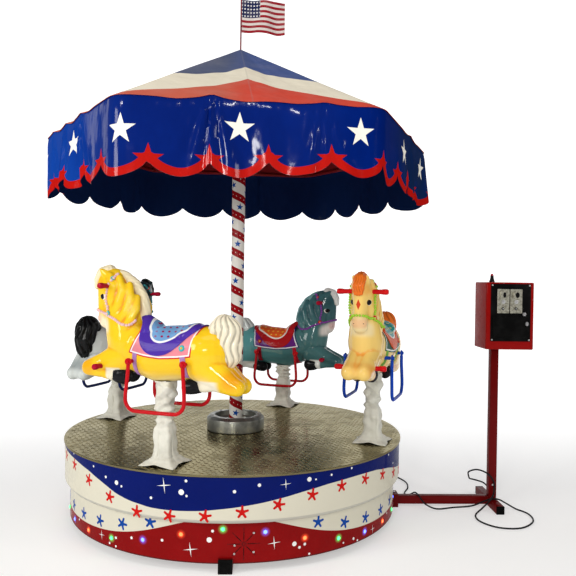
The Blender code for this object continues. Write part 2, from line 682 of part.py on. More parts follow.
def make_horse(colour, angle, drop, body_mesh, turntable):
    """One horse on its lifting post, with its bars, stirrups and the boot over the post."""
    paints = {"cream": (0.86, 0.62, 0.28), "teal": (0.05, 0.15, 0.14),
              "grey": (0.66, 0.69, 0.65), "yellow": (0.89, 0.62, 0.03)}
    irons = {"cream": (0.02, 0.05, 0.30), "teal": (0.55, 0.02, 0.03),
             "grey": (0.02, 0.03, 0.12), "yellow": (0.55, 0.02, 0.03)}
    coat = material(colour + " horse paint", paints[colour], 0.2)
    iron = material(colour + " stirrup paint", irons[colour], 0.3)
    grip = material("crimson grip", (0.45, 0.01, 0.03), 0.35)
    chrome = material("post steel", (0.55, 0.55, 0.56), 0.3, 0.9)
    vinyl = material("boot vinyl", (0.75, 0.74, 0.72), 0.5)
    lift = bpy.data.objects.new(colour + "_horse_lift", None)
    parts.objects.link(lift)
    lift.parent = turntable
    lift.location = on_circle(HORSE_RADIUS, angle, -drop)
    lift.rotation_euler.z = math.radians(angle - 90)
    name = colour + "_horse"
    body = place(name + "_body", body_mesh, coat, lift)
    bore = bore_radius(BAR_R, 12)
    cut(body, bar_cutter(name + " handle bore", HANDLE_AT, bore, lift))
    cut(body, bar_cutter(name + " knee bore", KNEE_BAR_AT, bore, lift))
    post_bore = bmesh.new()
    add_rod(post_bore, (0, 0, 0.7), (0, 0, POST_TOP + GAP), bore_radius(POST_R, 16))
    cut(body, cutter(name + " post bore", post_bore, lift))
    bolts = bmesh.new()
    for side in (-1, 1):
        for along in STIRRUP_BOLTS:
            add_rod(bolts, (along, side * (STIRRUP_SEAT - GAP), STIRRUP_BOLT_Z),
                    (along, side * 0.2, STIRRUP_BOLT_Z),
                    bore_radius(STIRRUP_R, 12), sides=12)
    cut(body, cutter(name + " bolt bores", bolts, lift))
    rod_part(name + "_post", (0, 0, POST_BOTTOM), (0, 0, POST_TOP), POST_R, chrome, parent=lift)
    half = BAR_LENGTH / 2
    for kind, at in (("handle_bar", HANDLE_AT), ("knee_bar", KNEE_BAR_AT)):
        rod_part(f"{name}_{kind}", (at[0], -half, at[1]), (at[0], half, at[1]), BAR_R, grip,
                 sides=12, parent=lift)
    for label, side in (("left", 1), ("right", -1)):
        front, back = STIRRUP_BOLTS
        upper = side * (STIRRUP_SIDE - STIRRUP_SPLAY)
        lower = side * STIRRUP_SIDE
        route = [(front, side * STIRRUP_SEAT, STIRRUP_BOLT_Z),
                 (front, upper, STIRRUP_BOLT_Z),
                 (front + STIRRUP_FLARE, lower, STIRRUP_BOTTOM_Z),
                 (back - STIRRUP_FLARE, lower, STIRRUP_BOTTOM_Z),
                 (back, upper, STIRRUP_BOLT_Z),
                 (back, side * STIRRUP_SEAT, STIRRUP_BOLT_Z)]
        bolt_bend, foot_bend = STIRRUP_CORNER
        bends = (bolt_bend, foot_bend, foot_bend, bolt_bend)
        tube_part(f"{name}_stirrup_{label}", rounded_path(route, bends), STIRRUP_R,
                  iron, lift, resolution=1)
    make_boot(colour, angle, drop, vinyl, turntable)


# Coin stand

def make_outrigger():
    """Arm in its socket, foot bar across its end, and the standing post."""
    steel = stand_steel()
    plastic = black_plastic()
    half = STAND_TUBE / 2
    arm_end = STAND_X - half - GAP
    box_part("outrigger_arm", (SOCKET_FACE + GAP, -half, ARM_Z - half),
             (arm_end, half, ARM_Z + half), steel)
    box_part("stand_foot_bar", (STAND_X - half, FOOT_FRONT, 0),
             (STAND_X + half, FOOT_BACK, STAND_TUBE), steel)
    box_part("foot_cap_front", (STAND_X - half, FOOT_FRONT - GAP - 0.008, 0),
             (STAND_X + half, FOOT_FRONT - GAP, STAND_TUBE), plastic, 0.002)
    box_part("foot_cap_back", (STAND_X - half, FOOT_BACK + GAP, 0),
             (STAND_X + half, FOOT_BACK + GAP + 0.008, STAND_TUBE), plastic, 0.002)
    box_part("stand_post", (STAND_X - half, -half, STAND_TUBE + GAP),
             (STAND_X + half, half, BOX_BOTTOM - GAP), steel)


def make_coin_box():
    """Sheet steel box with a cash recess, black front panel, coin plates, door and lamp."""
    red = material("coin box red", (0.36, 0.005, 0.006), 0.3)
    black = material("panel black", (0.015, 0.015, 0.017), 0.45)
    metal = plate_metal()
    lamp = material("signal lamp", (0.10, 0.008, 0.02), 0.3)
    right = BOX_LEFT + BOX_W
    top = BOX_BOTTOM + BOX_H
    box = box_part("coin_box", (BOX_LEFT, BOX_FRONT, BOX_BOTTOM),
                   (right, BOX_FRONT + BOX_DEPTH, top), red)
    panel_left = BOX_LEFT + PANEL_SIDE_MARGIN
    panel_top = top - PANEL_TOP_MARGIN
    panel_low = panel_top - PANEL_H
    panel_back = BOX_FRONT - GAP
    panel_face = panel_back - PANEL_T
    panel = box_part("front_panel", (panel_left, panel_face, panel_low),
                     (panel_left + PANEL_W, panel_back, panel_top), black)
    door_left = panel_left + (PANEL_W - DOOR_W) / 2
    door_low = panel_low + DOOR_LOW
    recess = bmesh.new()
    add_box(recess, (door_left + CASH_LIP, BOX_FRONT - 0.02, door_low + CASH_LIP),
            (door_left + DOOR_W - CASH_LIP, BOX_FRONT + CASH_DEPTH, door_low + DOOR_H - CASH_LIP))
    tool = cutter("cash_recess", recess)
    cut(box, tool)
    cut(panel, tool)
    make_cash_door(door_left, door_low, panel_face, black)
    plate_low = panel_top - 0.028 - PLATE_H
    first = panel_left + 0.034
    for label, left in (("left", first), ("right", first + PLATE_W + 0.005)):
        box_part("coin_plate_" + label, (left, panel_face - GAP - 0.003, plate_low),
                 (left + PLATE_W, panel_face - GAP, plate_low + PLATE_H), metal, 0.0015)
    lock = Vector((panel_left + 0.179, panel_face - GAP, plate_low - 0.004))
    rod_part("panel_lock", lock, lock - Vector((0, 0.012, 0)), 0.010, metal, 0.009)
    foot = Vector((BOX_LEFT + 0.045, BOX_FRONT + 0.05, top + GAP))
    turned = turned_part("signal_lamp", [
        (0, 0.046), (0.005, 0.044), (0.0075, 0.036), (0.0085, 0.022), (0.0145, 0.006),
        (0.0145, 0), (0, 0)], lamp, 20)
    turned.location = foot


def make_cash_door(left, low, panel_face, finish):
    """Plate door on a barrel hinge at its left edge, with its lock."""
    hinge = bpy.data.objects.new("cash_door_hinge", None)
    parts.objects.link(hinge)
    axis_y = panel_face - GAP - HINGE_R
    hinge.location = (left, axis_y, low + DOOR_H / 2)
    shape = bmesh.new()
    back = HINGE_R
    add_box(shape, (0, back - DOOR_T, -DOOR_H / 2), (DOOR_W, back, DOOR_H / 2))
    door = mesh_part("cash_door", shape, finish, hinge)
    barrel = bmesh.new()
    add_rod(barrel, (0, 0, -DOOR_H / 2), (0, 0, DOOR_H / 2), HINGE_R, sides=12)
    join(door, cutter("door_barrel", barrel, hinge))
    lock = Vector((DOOR_W - 0.012, back - DOOR_T - GAP, DOOR_H / 2 - 0.038))
    rod_part("cash_door_lock", lock, lock - Vector((0, 0.010, 0)), 0.009, plate_metal(), 0.008,
             parent=hinge)


def make_cable():
    """Lead from the drum along the floor, round the foot and into the back of the post."""
    rubber = material("cable rubber", (0.012, 0.012, 0.013), 0.5)
    away = on_circle(1.0, GLAND_ANGLE)
    start = on_circle(SKIRT_R + GAP, GLAND_ANGLE, GLAND_Z)
    tip = start + away * GLAND_LENGTH
    rod_part("cable_gland_base", start, tip, 0.011, rubber, 0.007)
    face = Vector((STAND_X, STAND_TUBE / 2 + GAP, POST_GLAND_Z))
    post_tip = face + Vector((0, GLAND_LENGTH, 0))
    rod_part("cable_gland_post", face, post_tip, 0.011, rubber, 0.007)
    back = Vector((0, 1, 0))
    route = [tip + away * GAP, tip + away * 0.024]
    route += [Vector(point) for point in CABLE_ROUTE]
    route += [post_tip + back * 0.024, post_tip + back * GAP]
    tube_part("cable", smooth_route(route, CABLE_R + GAP), CABLE_R, rubber)


clear_scene()
parts = new_collection("fairground_carousel")
cutters = new_collection("cutters")
turning = bpy.data.objects.new("turntable_axis", None)
parts.objects.link(turning)
make_base()
make_pedestal()
make_base_skirt()
make_platform(turning)
make_platform_skirt(turning)
make_collar_and_pole(turning)
make_canopy(turning)
make_flag(turning)
horse = horse_mesh()
for horse_colour, (horse_angle, horse_drop) in HORSES.items():
    make_horse(horse_colour, horse_angle, horse_drop, horse, turning)
make_outrigger()
make_coin_box()
make_cable()
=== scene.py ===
"""Looks of a small fairground carousel: horses, drum, canopy, coin stand, painted and dressed.

Metres, +Z up, the floor at z = 0 and the turning axis at the origin. The outrigger arm runs
along +X and the loudspeaker side of the drum faces -Y.
"""
import math
import random
from contextlib import contextmanager
from functools import partialmethod

import bmesh
import bpy
import numpy as np
from mathutils import Matrix, Vector
from mathutils.bvhtree import BVHTree


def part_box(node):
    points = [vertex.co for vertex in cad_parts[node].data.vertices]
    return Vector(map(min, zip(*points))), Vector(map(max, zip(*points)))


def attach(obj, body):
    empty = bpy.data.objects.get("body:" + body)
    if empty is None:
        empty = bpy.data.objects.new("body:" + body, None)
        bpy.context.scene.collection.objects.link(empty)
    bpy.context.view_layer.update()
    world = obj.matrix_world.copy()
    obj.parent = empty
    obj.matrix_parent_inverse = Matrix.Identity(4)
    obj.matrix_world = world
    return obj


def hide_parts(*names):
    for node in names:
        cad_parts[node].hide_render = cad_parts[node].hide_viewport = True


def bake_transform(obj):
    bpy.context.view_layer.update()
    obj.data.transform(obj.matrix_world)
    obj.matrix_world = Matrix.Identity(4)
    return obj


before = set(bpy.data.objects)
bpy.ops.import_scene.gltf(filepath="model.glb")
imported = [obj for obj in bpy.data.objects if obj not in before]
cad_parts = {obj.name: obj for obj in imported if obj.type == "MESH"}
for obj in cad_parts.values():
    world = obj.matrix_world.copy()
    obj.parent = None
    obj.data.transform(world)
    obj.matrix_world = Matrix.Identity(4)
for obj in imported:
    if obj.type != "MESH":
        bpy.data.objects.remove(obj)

bl_info = {
    "name": "Fairground Carousel",
    "version": (1, 0, 0),
    "blender": (4, 5, 0),
    "location": "3D View > Sidebar > Carousel",
    "description": "Builds and paints a four-horse carousel on its CAD frame",
    "category": "Object",
}

TAU = math.tau
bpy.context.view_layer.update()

# Drum and deck
DRUM_R = 0.872
DRUM_T = 0.006
SKIRT_R = 0.844
SKIRT_BOTTOM = 0.036
SKIRT_TOP = 0.205
DECK_R = 0.878
DECK_Z = 0.414
DECK_T = 0.01
POLE_R = 0.035
POLE_TOP = 2.415

# Canopy
APEX_Z = 2.452
RIM_Z = 1.93
RIM_R = 1.062
RIM_CORNERS = (1.04, 1.062, 1.062, 1.005, 1.085, 1.075)
CANOPY_TURN = 5.54
VALANCE_BOTTOM = 1.626
SCALLOP_DEPTH = 0.066

# Horses: direction in degrees and how far below the top of its stroke each one stands
HORSES = {
    "cream": (-21.54, 0.012), "teal": (68.46, 0.1), "grey": (158.46, 0.058),
    "yellow": (248.46, 0.0),
}
HORSE_RADIUS = 0.75
HANDLE_AT = (0.262, 1.18)
KNEE_BAR_AT = (0.285, 0.829)


# Shapes

def milli(table):
    """A nested table written in millimetres, or in thousandths of a colour, in whole units."""
    return type(table)(map(milli, table)) if isinstance(table, (list, tuple)) else table / 1000


def vec(*parts):
    return Vector(parts)


shift = Matrix.Translation


def spin(turn, axis="Z"):
    """A turn in radians about an axis."""
    return Matrix.Rotation(turn, 4, axis)


def aimed(way):
    """The turn that brings +Z to a direction."""
    return Vector(way).to_track_quat("Z", "Y").to_matrix().to_4x4()


def times(colour, factor, lift=0.0):
    return tuple(c * factor + lift for c in colour)


def alone(*pieces):
    """Select just these pieces, the first one active."""
    if bpy.context.object and bpy.context.object.mode != "OBJECT":
        bpy.ops.object.mode_set(mode="OBJECT")
    bpy.ops.object.select_all(action="DESELECT")
    for piece in pieces:
        piece.select_set(True)
    bpy.context.view_layer.objects.active = pieces[0]


def added(name):
    """Name the piece that an operator has just added."""
    piece = bpy.context.view_layer.objects.active
    piece.name = piece.data.name = name
    return piece


@contextmanager
def editing(piece, kind="VERT"):
    """Edit one piece's mesh, with nothing of it selected at first."""
    alone(piece)
    bpy.ops.object.mode_set(mode="EDIT")
    bpy.ops.mesh.select_mode(type=kind)
    bpy.ops.mesh.select_all(action="DESELECT")
    yield piece
    bpy.ops.object.mode_set(mode="OBJECT")


def pick_all():
    bpy.ops.mesh.select_all(action="SELECT")


def face_outward():
    """In edit mode, turn all faces outward."""
    pick_all()
    bpy.ops.mesh.normals_make_consistent(inside=False)


def extrude(x, y, z):
    """Extrude what is selected and move it."""
    bpy.ops.mesh.extrude_region_move(TRANSFORM_OT_translate={"value": (x, y, z)})


def resize(x, y, z):
    bpy.ops.transform.resize(value=(x, y, z))


def discard(*pieces):
    for piece in pieces:
        bpy.data.objects.remove(piece, do_unlink=True)


def choose(piece, kind, test):
    """In edit mode, select the vertices, edges or faces that pass a test."""
    bpy.ops.mesh.select_all(action="DESELECT")
    shape = bmesh.from_edit_mesh(piece.data)
    for item in getattr(shape, kind):
        if test(item):
            item.select_set(True)
    shape.select_flush_mode()
    bmesh.update_edit_mesh(piece.data)


def bake_place(piece):
    """Bring a piece's place into its mesh."""
    alone(piece)
    bpy.ops.object.transform_apply(location=True, rotation=True, scale=True)


def modify(piece, kind, **settings):
    """Add a modifier and apply it."""
    alone(piece)
    modifier = piece.modifiers.new(kind.lower(), kind)
    for key, value in settings.items():
        setattr(modifier, key, value)
    bpy.ops.object.modifier_apply(modifier=modifier.name)
    return piece


def carve(piece, tool, how="DIFFERENCE"):
    """Cut a piece with a tool, or keep what they share, and remove the tool."""
    modify(piece, "BOOLEAN", operation=how, object=tool, solver="EXACT")
    discard(tool)
    return piece


def block(name, low, high, edge=0.0, steps=2):
    """A box between two corners with its edges rounded off."""
    middle = [(a + b) / 2 for a, b in zip(low, high)]
    size = [b - a for a, b in zip(low, high)]
    bpy.ops.mesh.primitive_cube_add(size=1.0, location=middle, scale=size)
    piece = added(name)
    bake_place(piece)
    if edge:
        with editing(piece):
            pick_all()
            bpy.ops.mesh.bevel(offset=edge, segments=steps, affect="EDGES")
    return piece


def rod(name, start, end, radius, sides=24, edge=0.0):
    """A straight rod between two points, its rims rounded off."""
    run = Vector(end) - Vector(start)
    middle = (Vector(end) + Vector(start)) / 2
    bpy.ops.mesh.primitive_cone_add(
        vertices=sides, radius1=radius, radius2=radius,
        depth=run.length, location=middle, rotation=run.to_track_quat("Z", "Y").to_euler())
    piece = added(name)
    if edge:
        with editing(piece, "EDGE"):
            choose(piece, "edges", lambda e: any(len(f.verts) > 4 for f in e.link_faces))
            bpy.ops.mesh.bevel(offset=edge, segments=3, affect="EDGES")
    bake_place(piece)
    return piece


def traced(name, points):
    """A chain of edges through points."""
    bpy.ops.mesh.primitive_plane_add(size=0.01, location=(0, 0, 0))
    piece = added(name)
    with editing(piece):
        pick_all()
        bpy.ops.mesh.merge(type="CENTER")
        bpy.ops.transform.translate(value=points[0])
        for start, end in zip(points, points[1:]):
            extrude(*(b - a for a, b in zip(start, end)))
    return piece


def turned(name, profile, steps=64, ring=False):
    """Turn a profile of (radius, z) points about the z axis."""
    points = list(profile) + ([profile[0]] if ring else [])
    piece = traced(name, [(r, 0, z) for r, z in points])
    with editing(piece):
        pick_all()
        bpy.ops.mesh.spin(steps=steps, angle=TAU, center=(0, 0, 0), axis=(0, 0, 1))
        pick_all()
        bpy.ops.mesh.remove_doubles(threshold=0.00002)
        face_outward()
    return piece


def open_tube(name, columns, rows):
    """A ring of radius 1 with rows of faces below it, one metre apart."""
    bpy.ops.mesh.primitive_circle_add(vertices=columns, radius=1.0, fill_type="NOTHING",
                                      location=(0, 0, 0))
    piece = added(name)
    with editing(piece):
        pick_all()
        for _ in range(rows):
            extrude(0, 0, -1)
    return piece


def flip_out(piece, is_out):
    """Make the faces of an open cloth agree, and flip them where the test says they face in."""
    with editing(piece):
        face_outward()
    if not is_out(piece.data.polygons):
        piece.data.flip_normals()


def tube(name, points, radius, sides=12, closed=False):
    """A round tube that follows points."""
    bpy.ops.curve.primitive_nurbs_path_add(location=(0, 0, 0))
    piece = added(name)
    curve = piece.data
    curve.splines.clear()
    spline = curve.splines.new("POLY")
    spline.points.add(len(points) - 1)
    for knot, point in zip(spline.points, points):
        knot.co = (*point, 1.0)
    spline.use_cyclic_u = closed
    curve.dimensions = "3D"
    curve.bevel_depth = radius
    curve.bevel_resolution = max(0, sides // 4 - 1)
    curve.use_fill_caps = not closed
    return piece


def as_mesh(piece):
    """Make a curve a mesh with merged seams."""
    alone(piece)
    bpy.ops.object.convert(target="MESH")
    with editing(piece):
        pick_all()
        bpy.ops.mesh.remove_doubles(threshold=0.00001)
        face_outward()
    return piece


def joined(name, pieces):
    """Join pieces into one and name it."""
    alone(*pieces)
    if len(pieces) > 1:
        bpy.ops.object.join()
    return added(name)


def copied(piece, name, matrix=None):
    """A copy with its own mesh, moved in its mesh."""
    twin = piece.copy()
    twin.data = piece.data.copy()
    twin.name = twin.data.name = name
    bpy.context.scene.collection.objects.link(twin)
    if matrix is not None:
        twin.data.transform(matrix)
    return twin


def settle(piece, body, finish, stands_for=(), angle=30):
    """Shade a finished piece, give it its finish and let it ride on its body."""
    if angle and piece.type == "MESH":
        alone(piece)
        bpy.ops.object.shade_smooth_by_angle(angle=math.radians(angle))
    if finish is not None:
        piece.data.materials.clear()
        piece.data.materials.append(finish)
    if body:
        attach(piece, body)
    if stands_for:
        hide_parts(*stands_for)
    return piece


def repaint(finish, *names):
    """Give CAD nodes whose shape is right a better material."""
    for name in names:
        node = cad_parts[name]
        if not node.material_slots:
            node.data.materials.append(finish)
        for place in node.material_slots:
            place.material = finish


def on_circle(radius, degrees, z=0.0):
    turn = math.radians(degrees)
    return vec(radius * math.cos(turn), radius * math.sin(turn), z)


def flowing(points, per_span=4, closed=False):
    """Points on a smooth curve that runs through points."""
    knots = [Vector(p) for p in points]
    if closed:
        knots = [knots[-1]] + knots + knots[:2]
    else:
        knots = [2 * knots[0] - knots[1]] + knots + [2 * knots[-1] - knots[-2]]
    path = []
    for a, b, c, d in zip(knots, knots[1:], knots[2:], knots[3:]):
        for step in range(per_span):
            t = step / per_span
            path.append(0.5 * (2 * b + (c - a) * t + (2 * a - 5 * b + 4 * c - d) * t ** 2
                               + (3 * b - a - 3 * c + d) * t ** 3))
    if not closed:
        path.append(knots[-2])
    return path


# Finishes

class Signal:
    """A number that varies over a surface, with sums written as in plain arithmetic."""

    def __init__(self, finish, socket):
        self.finish, self.socket = finish, socket

    def math(self, operation, *others):
        node = self.finish.node("ShaderNodeMath", operation=operation)
        for place, item in zip(node.inputs, (self,) + others):
            self.finish.feed(place, item)
        return Signal(self.finish, node.outputs[0])

    __add__ = __radd__ = partialmethod(math, "ADD")
    __sub__ = partialmethod(math, "SUBTRACT")
    __mul__ = __rmul__ = partialmethod(math, "MULTIPLY")
    __truediv__ = partialmethod(math, "DIVIDE")
    __abs__ = partialmethod(math, "ABSOLUTE")
    power = partialmethod(math, "POWER")
    least = partialmethod(math, "MINIMUM")
    most = partialmethod(math, "MAXIMUM")

    def __rsub__(self, other):
        return (self * -1) + other

    def wrap(self, period):
        """The distance past the last whole period."""
        return self.math("WRAP", period, 0.0)

    def centred(self, period):
        """The distance from the nearest whole period, negative before it."""
        return (self + period / 2).wrap(period) - period / 2

    def span(self, other):
        """The length of an arrow whose two parts are this and another number."""
        return (self.power(2.0) + other.power(2.0)).power(0.5)

    def ramp(self, start, end, low=0.0, high=1.0):
        """Rises smoothly from low at start to high at end."""
        node = self.finish.node("ShaderNodeMapRange", interpolation_type="SMOOTHSTEP")
        for place, item in zip(node.inputs, (self, start, end, low, high)):
            self.finish.feed(place, item)
        return Signal(self.finish, node.outputs[0])

    def below(self, limit, soft=0.001):
        """One below a limit, nothing above it."""
        return (self - limit).ramp(soft / 2, -soft / 2) if isinstance(limit, Signal) \
            else self.ramp(limit + soft / 2, limit - soft / 2)


class Finish:
    """A paint or material, built up in layers on a Principled shader."""

    def __init__(self, name, colour, rough=0.5, metallic=0.0, coat=0.0, sheen=0.0,
                 specular=0.03, emission=0.0, scatter=0.0):
        self.material = bpy.data.materials.new(name)
        self.material.use_nodes = True
        tree = self.material.node_tree
        self.nodes, self.links = tree.nodes, tree.links
        self.shader = self.nodes["Principled BSDF"]
        self.colour, self.rough = colour, rough
        self.normal = None
        for socket, value in (("Metallic", metallic), ("Coat Weight", coat * 0.22),
                              ("Coat Roughness", 0.06), ("Sheen Weight", sheen),
                              ("Specular IOR Level", specular), ("Emission Strength", emission),
                              ("Subsurface Weight", scatter)):
            self.shader.inputs[socket].default_value = value
        if emission:
            self.shader.inputs["Emission Color"].default_value = (*colour, 1.0)

    def node(self, kind, **settings):
        node = self.nodes.new(kind)
        for key, value in settings.items():
            setattr(node, key, value)
        return node

    def feed(self, socket, item):
        if isinstance(item, Signal):
            self.links.new(item.socket, socket)
        elif isinstance(item, bpy.types.NodeSocket):
            self.links.new(item, socket)
        elif isinstance(item, (tuple, list)):
            socket.default_value = (*item, 1.0) if len(item) == 3 and socket.type == "RGBA" \
                else item
        else:
            socket.default_value = item

    def place(self, attribute=None, uv=False):
        """x, y and z of the surface, of a stored attribute or of the UV map."""
        if attribute:
            source = self.node("ShaderNodeAttribute", attribute_name=attribute).outputs["Vector"]
        else:
            source = self.node("ShaderNodeTexCoord").outputs["UV" if uv else "Object"]
        split = self.node("ShaderNodeSeparateXYZ")
        self.feed(split.inputs[0], source)
        self.point = source
        return [Signal(self, out) for out in split.outputs]

    def stored(self, attribute):
        """A number stored on the mesh."""
        node = self.node("ShaderNodeAttribute", attribute_name=attribute)
        return Signal(self, node.outputs["Fac"])

    def noise(self, scale, detail=3.0, stretch=(1, 1, 1), point=None, rough=0.55):
        mapping = self.node("ShaderNodeMapping")
        mapping.inputs["Scale"].default_value = stretch
        if point is None:
            point = self.node("ShaderNodeTexCoord").outputs["Object"]
        self.feed(mapping.inputs[0], point)
        node = self.node("ShaderNodeTexNoise")
        self.feed(node.inputs["Vector"], mapping.outputs[0])
        for socket, value in (("Scale", scale), ("Detail", detail), ("Roughness", rough)):
            node.inputs[socket].default_value = value
        return Signal(self, node.outputs["Fac"])

    def curve(self, value, knots):
        """A number read off a curve drawn through knots."""
        node = self.node("ShaderNodeFloatCurve")
        self.feed(node.inputs["Value"], value)
        line = node.mapping.curves[0]
        for place, knot in zip(line.points, (knots[0], knots[-1])):
            place.location = knot
        for knot in knots[1:-1]:
            line.points.new(*knot)
        node.mapping.update()
        return Signal(self, node.outputs[0])

    def tint(self, mask, colour):
        """Lay a colour over what is there, where the mask is."""
        mix = self.node("ShaderNodeMix", data_type="RGBA")
        self.feed(mix.inputs[0], mask)
        self.feed(mix.inputs[6], self.colour)
        self.feed(mix.inputs[7], colour)
        self.colour = mix.outputs[2]
        return self

    def bump(self, height, depth, strength=1.0):
        node = self.node("ShaderNodeBump")
        node.inputs["Distance"].default_value = depth
        node.inputs["Strength"].default_value = strength
        self.feed(node.inputs["Height"], height)
        if self.normal is not None:
            self.feed(node.inputs["Normal"], self.normal)
        self.normal = node.outputs[0]
        return self

    def blotch(self, scale, detail, start, end, high, colour):
        """Soft patches of another colour."""
        return self.tint(self.noise(scale, detail).ramp(start, end, 0.0, high), colour)

    def grain(self, scale, detail, depth, strength=1.0):
        """Fine relief all over."""
        return self.bump(self.noise(scale, detail), depth, strength)

    def done(self):
        self.feed(self.shader.inputs["Base Color"], self.colour)
        self.feed(self.shader.inputs["Roughness"], self.rough)
        if self.normal is not None:
            self.feed(self.shader.inputs["Normal"], self.normal)
            self.feed(self.shader.inputs["Coat Normal"], self.normal)
        return self.material


def lacquer(name, colour, rough=0.28, worn=(0.0, 0.0, 0.0), coat=0.5):
    """Glossy paint with faint runs, dust in its gloss and a few darker patches."""
    made = Finish(name, colour, rough, coat=coat, specular=0.01)
    made.blotch(9.0, 4.0, 0.52, 0.75, 0.35, worn)
    made.rough = made.noise(26.0, 4.0).ramp(0.3, 0.75, rough - 0.06, rough + 0.14)
    return made.grain(14.0, 2.0, 0.0006, 0.5)


def satin_steel(name, colour, rough=0.35, grain=(1, 1, 30)):
    """Bright metal with fine lines left by its brush or lathe."""
    made = Finish(name, colour, rough, metallic=1.0)
    lines = made.noise(60.0, 4.0, stretch=grain)
    made.tint(lines.ramp(0.35, 0.7, 0.0, 0.4), times(colour, 0.6))
    made.rough = lines.ramp(0.3, 0.7, rough - 0.08, rough + 0.12)
    return made.bump(lines, 0.0003, 0.4)


def moulded(name, colour, rough=0.5):
    """Plastic or rubber with a fine moulded grain."""
    made = Finish(name, colour, rough)
    made.blotch(12.0, 3.0, 0.45, 0.8, 0.5, times(colour, 1.8, 0.01))
    made.rough = made.noise(40.0, 3.0).ramp(0.3, 0.7, rough - 0.1, rough + 0.12)
    return made.grain(420.0, 2.0, 0.0002, 0.35)


# What a user can change

def paint_colour(name, description, value):
    return bpy.props.FloatVectorProperty(name=name, description=description, subtype="COLOR",
                                         default=value)


def trim_size(name, description, value):
    return bpy.props.FloatProperty(name=name, description=description, default=value,
                                   unit="LENGTH")


class CarouselColours(bpy.types.PropertyGroup):
    """Paint colours of the ride, as linear values."""
    royal: paint_colour("Royal blue", "Blue of the drum's upper wave", (0.001, 0.007, 0.11))
    border: paint_colour("Border blue", "Blue of the hanging border", (0.0007, 0.011, 0.135))
    scarlet: paint_colour("Scarlet", "Red of the border's hem and stars", (0.45, 0.008, 0.005))
    crimson: paint_colour("Drum red", "Red of the drum's lower wave", (0.225, 0.003, 0.0035))
    ivory: paint_colour("Ivory", "White of the drum", (0.68, 0.65, 0.53))


class CarouselSizes(bpy.types.PropertyGroup):
    """Sizes of the trim that the CAD frame leaves open."""
    star: trim_size("Border star", "Tip radius of a white star on the border", 0.064)
    hem: trim_size("Hem", "Width of the red band along the scallops", 0.034)
    asterisk: trim_size("Drum star", "Tip radius of a small star on the drum", 0.029)
    tread: trim_size("Tread", "Length of one raised bar of the tread plate", 0.025)
    bead: trim_size("Bead", "Radius of one bead of a bridle", 0.007)


def colours():
    return bpy.context.scene.carousel_colours


def sizes():
    return bpy.context.scene.carousel_sizes


# Stage

CAMERA_AT = (0.147, -3.5974, 1.2087)
CAMERA_LENS = 41.645
CAMERA_HEADING = 88.001
CAMERA_PITCH = -0.54
CAMERA_ROLL = 0.825
FLOOR_WIDTH = 44
FLOOR_DEPTH = 30


def place_camera():
    heading, pitch = math.radians(CAMERA_HEADING), math.radians(CAMERA_PITCH)
    ahead = vec(math.cos(pitch) * math.cos(heading), math.cos(pitch) * math.sin(heading),
                math.sin(pitch))
    across = ahead.cross(vec(0, 0, 1)).normalized()
    upright = across.cross(ahead)
    roll = math.radians(CAMERA_ROLL)
    right = across * math.cos(roll) + upright * math.sin(roll)
    top = upright * math.cos(roll) - across * math.sin(roll)
    bpy.ops.object.camera_add(location=CAMERA_AT)
    camera = bpy.context.object
    camera.name = "camera"
    camera.rotation_euler = Matrix((right, top, -ahead)).transposed().to_euler()
    camera.data.lens = CAMERA_LENS
    camera.data.sensor_width = 36.0
    bpy.context.scene.camera = camera


def lay_floor():
    """A pale floor that rises into a wall far behind the ride."""
    bpy.ops.mesh.primitive_plane_add(size=1.0, location=(0, 0, -0.0006))
    floor = added("floor")
    with editing(floor, "EDGE"):
        pick_all()
        resize(FLOOR_WIDTH, FLOOR_DEPTH, 1)
        bpy.ops.transform.translate(value=(0, -1.2, 0))
        choose(floor, "edges", lambda e: all(v.co.y > 1 for v in e.verts))
        for lift, back in ((0.3, 0.8), (1.2, 1.0), (9.0, 0.4)):
            extrude(0, back, lift)
    bake_place(floor)
    pale = Finish("pale floor", (0.66, 0.66, 0.655), 0.75)
    pale.blotch(1.5, 3.0, 0.4, 0.7, 0.12, (0.6, 0.6, 0.59))
    away = pale.place()[1]
    pale.feed(pale.shader.inputs["Emission Color"], (1.0, 1.0, 1.0))
    pale.feed(pale.shader.inputs["Emission Strength"], away.ramp(-0.5, 3.4, 0.4, 0.92))
    floor.data.materials.append(pale.done())


def hang_lights():
    world = bpy.context.scene.world or bpy.data.worlds.new("soft room")
    bpy.context.scene.world = world
    world.use_nodes = True
    backdrop = world.node_tree.nodes["Background"]
    backdrop.inputs["Color"].default_value = (0.93, 0.95, 1.0, 1.0)
    backdrop.inputs["Strength"].default_value = 0.14
    for name, at, size, power, tone in (
            ("window", (-3.9, -3.0, 2.3), (1.2, 1.8), 88.0, (1.0, 0.98, 0.95)),
            ("overhead", (0.1, -2.2, 5.4), (3.6, 2.4), 62.0, (1.0, 0.98, 0.93)),
            ("far window", (3.9, -2.6, 2.2), (0.7, 1.4), 30.0, (1.0, 0.97, 0.93)),
            ("front", (-1.2, -5.8, 2.0), (0.8, 0.8), 92.0, (1.0, 0.98, 0.95)),
            ("spot left", (-2.3, -3.6, 3.5), (0.2, 0.2), 12.0, (1.0, 0.96, 0.9)),
            ("spot middle", (0.6, -4.2, 3.7), (0.2, 0.2), 12.0, (1.0, 0.96, 0.9)),
            ("spot right", (2.4, -3.2, 3.4), (0.2, 0.2), 9.0, (1.0, 0.96, 0.9))):
        bpy.ops.object.light_add(type="AREA", location=at)
        light = bpy.context.object
        light.name = name
        light.data.shape = "RECTANGLE"
        light.data.size, light.data.size_y = size
        light.data.energy = power
        light.data.color = tone
        aim = vec(0, 0, 1.1) - Vector(at)
        light.rotation_euler = aim.to_track_quat("-Z", "Y").to_euler()
    bpy.context.scene.view_settings.view_transform = "Standard"


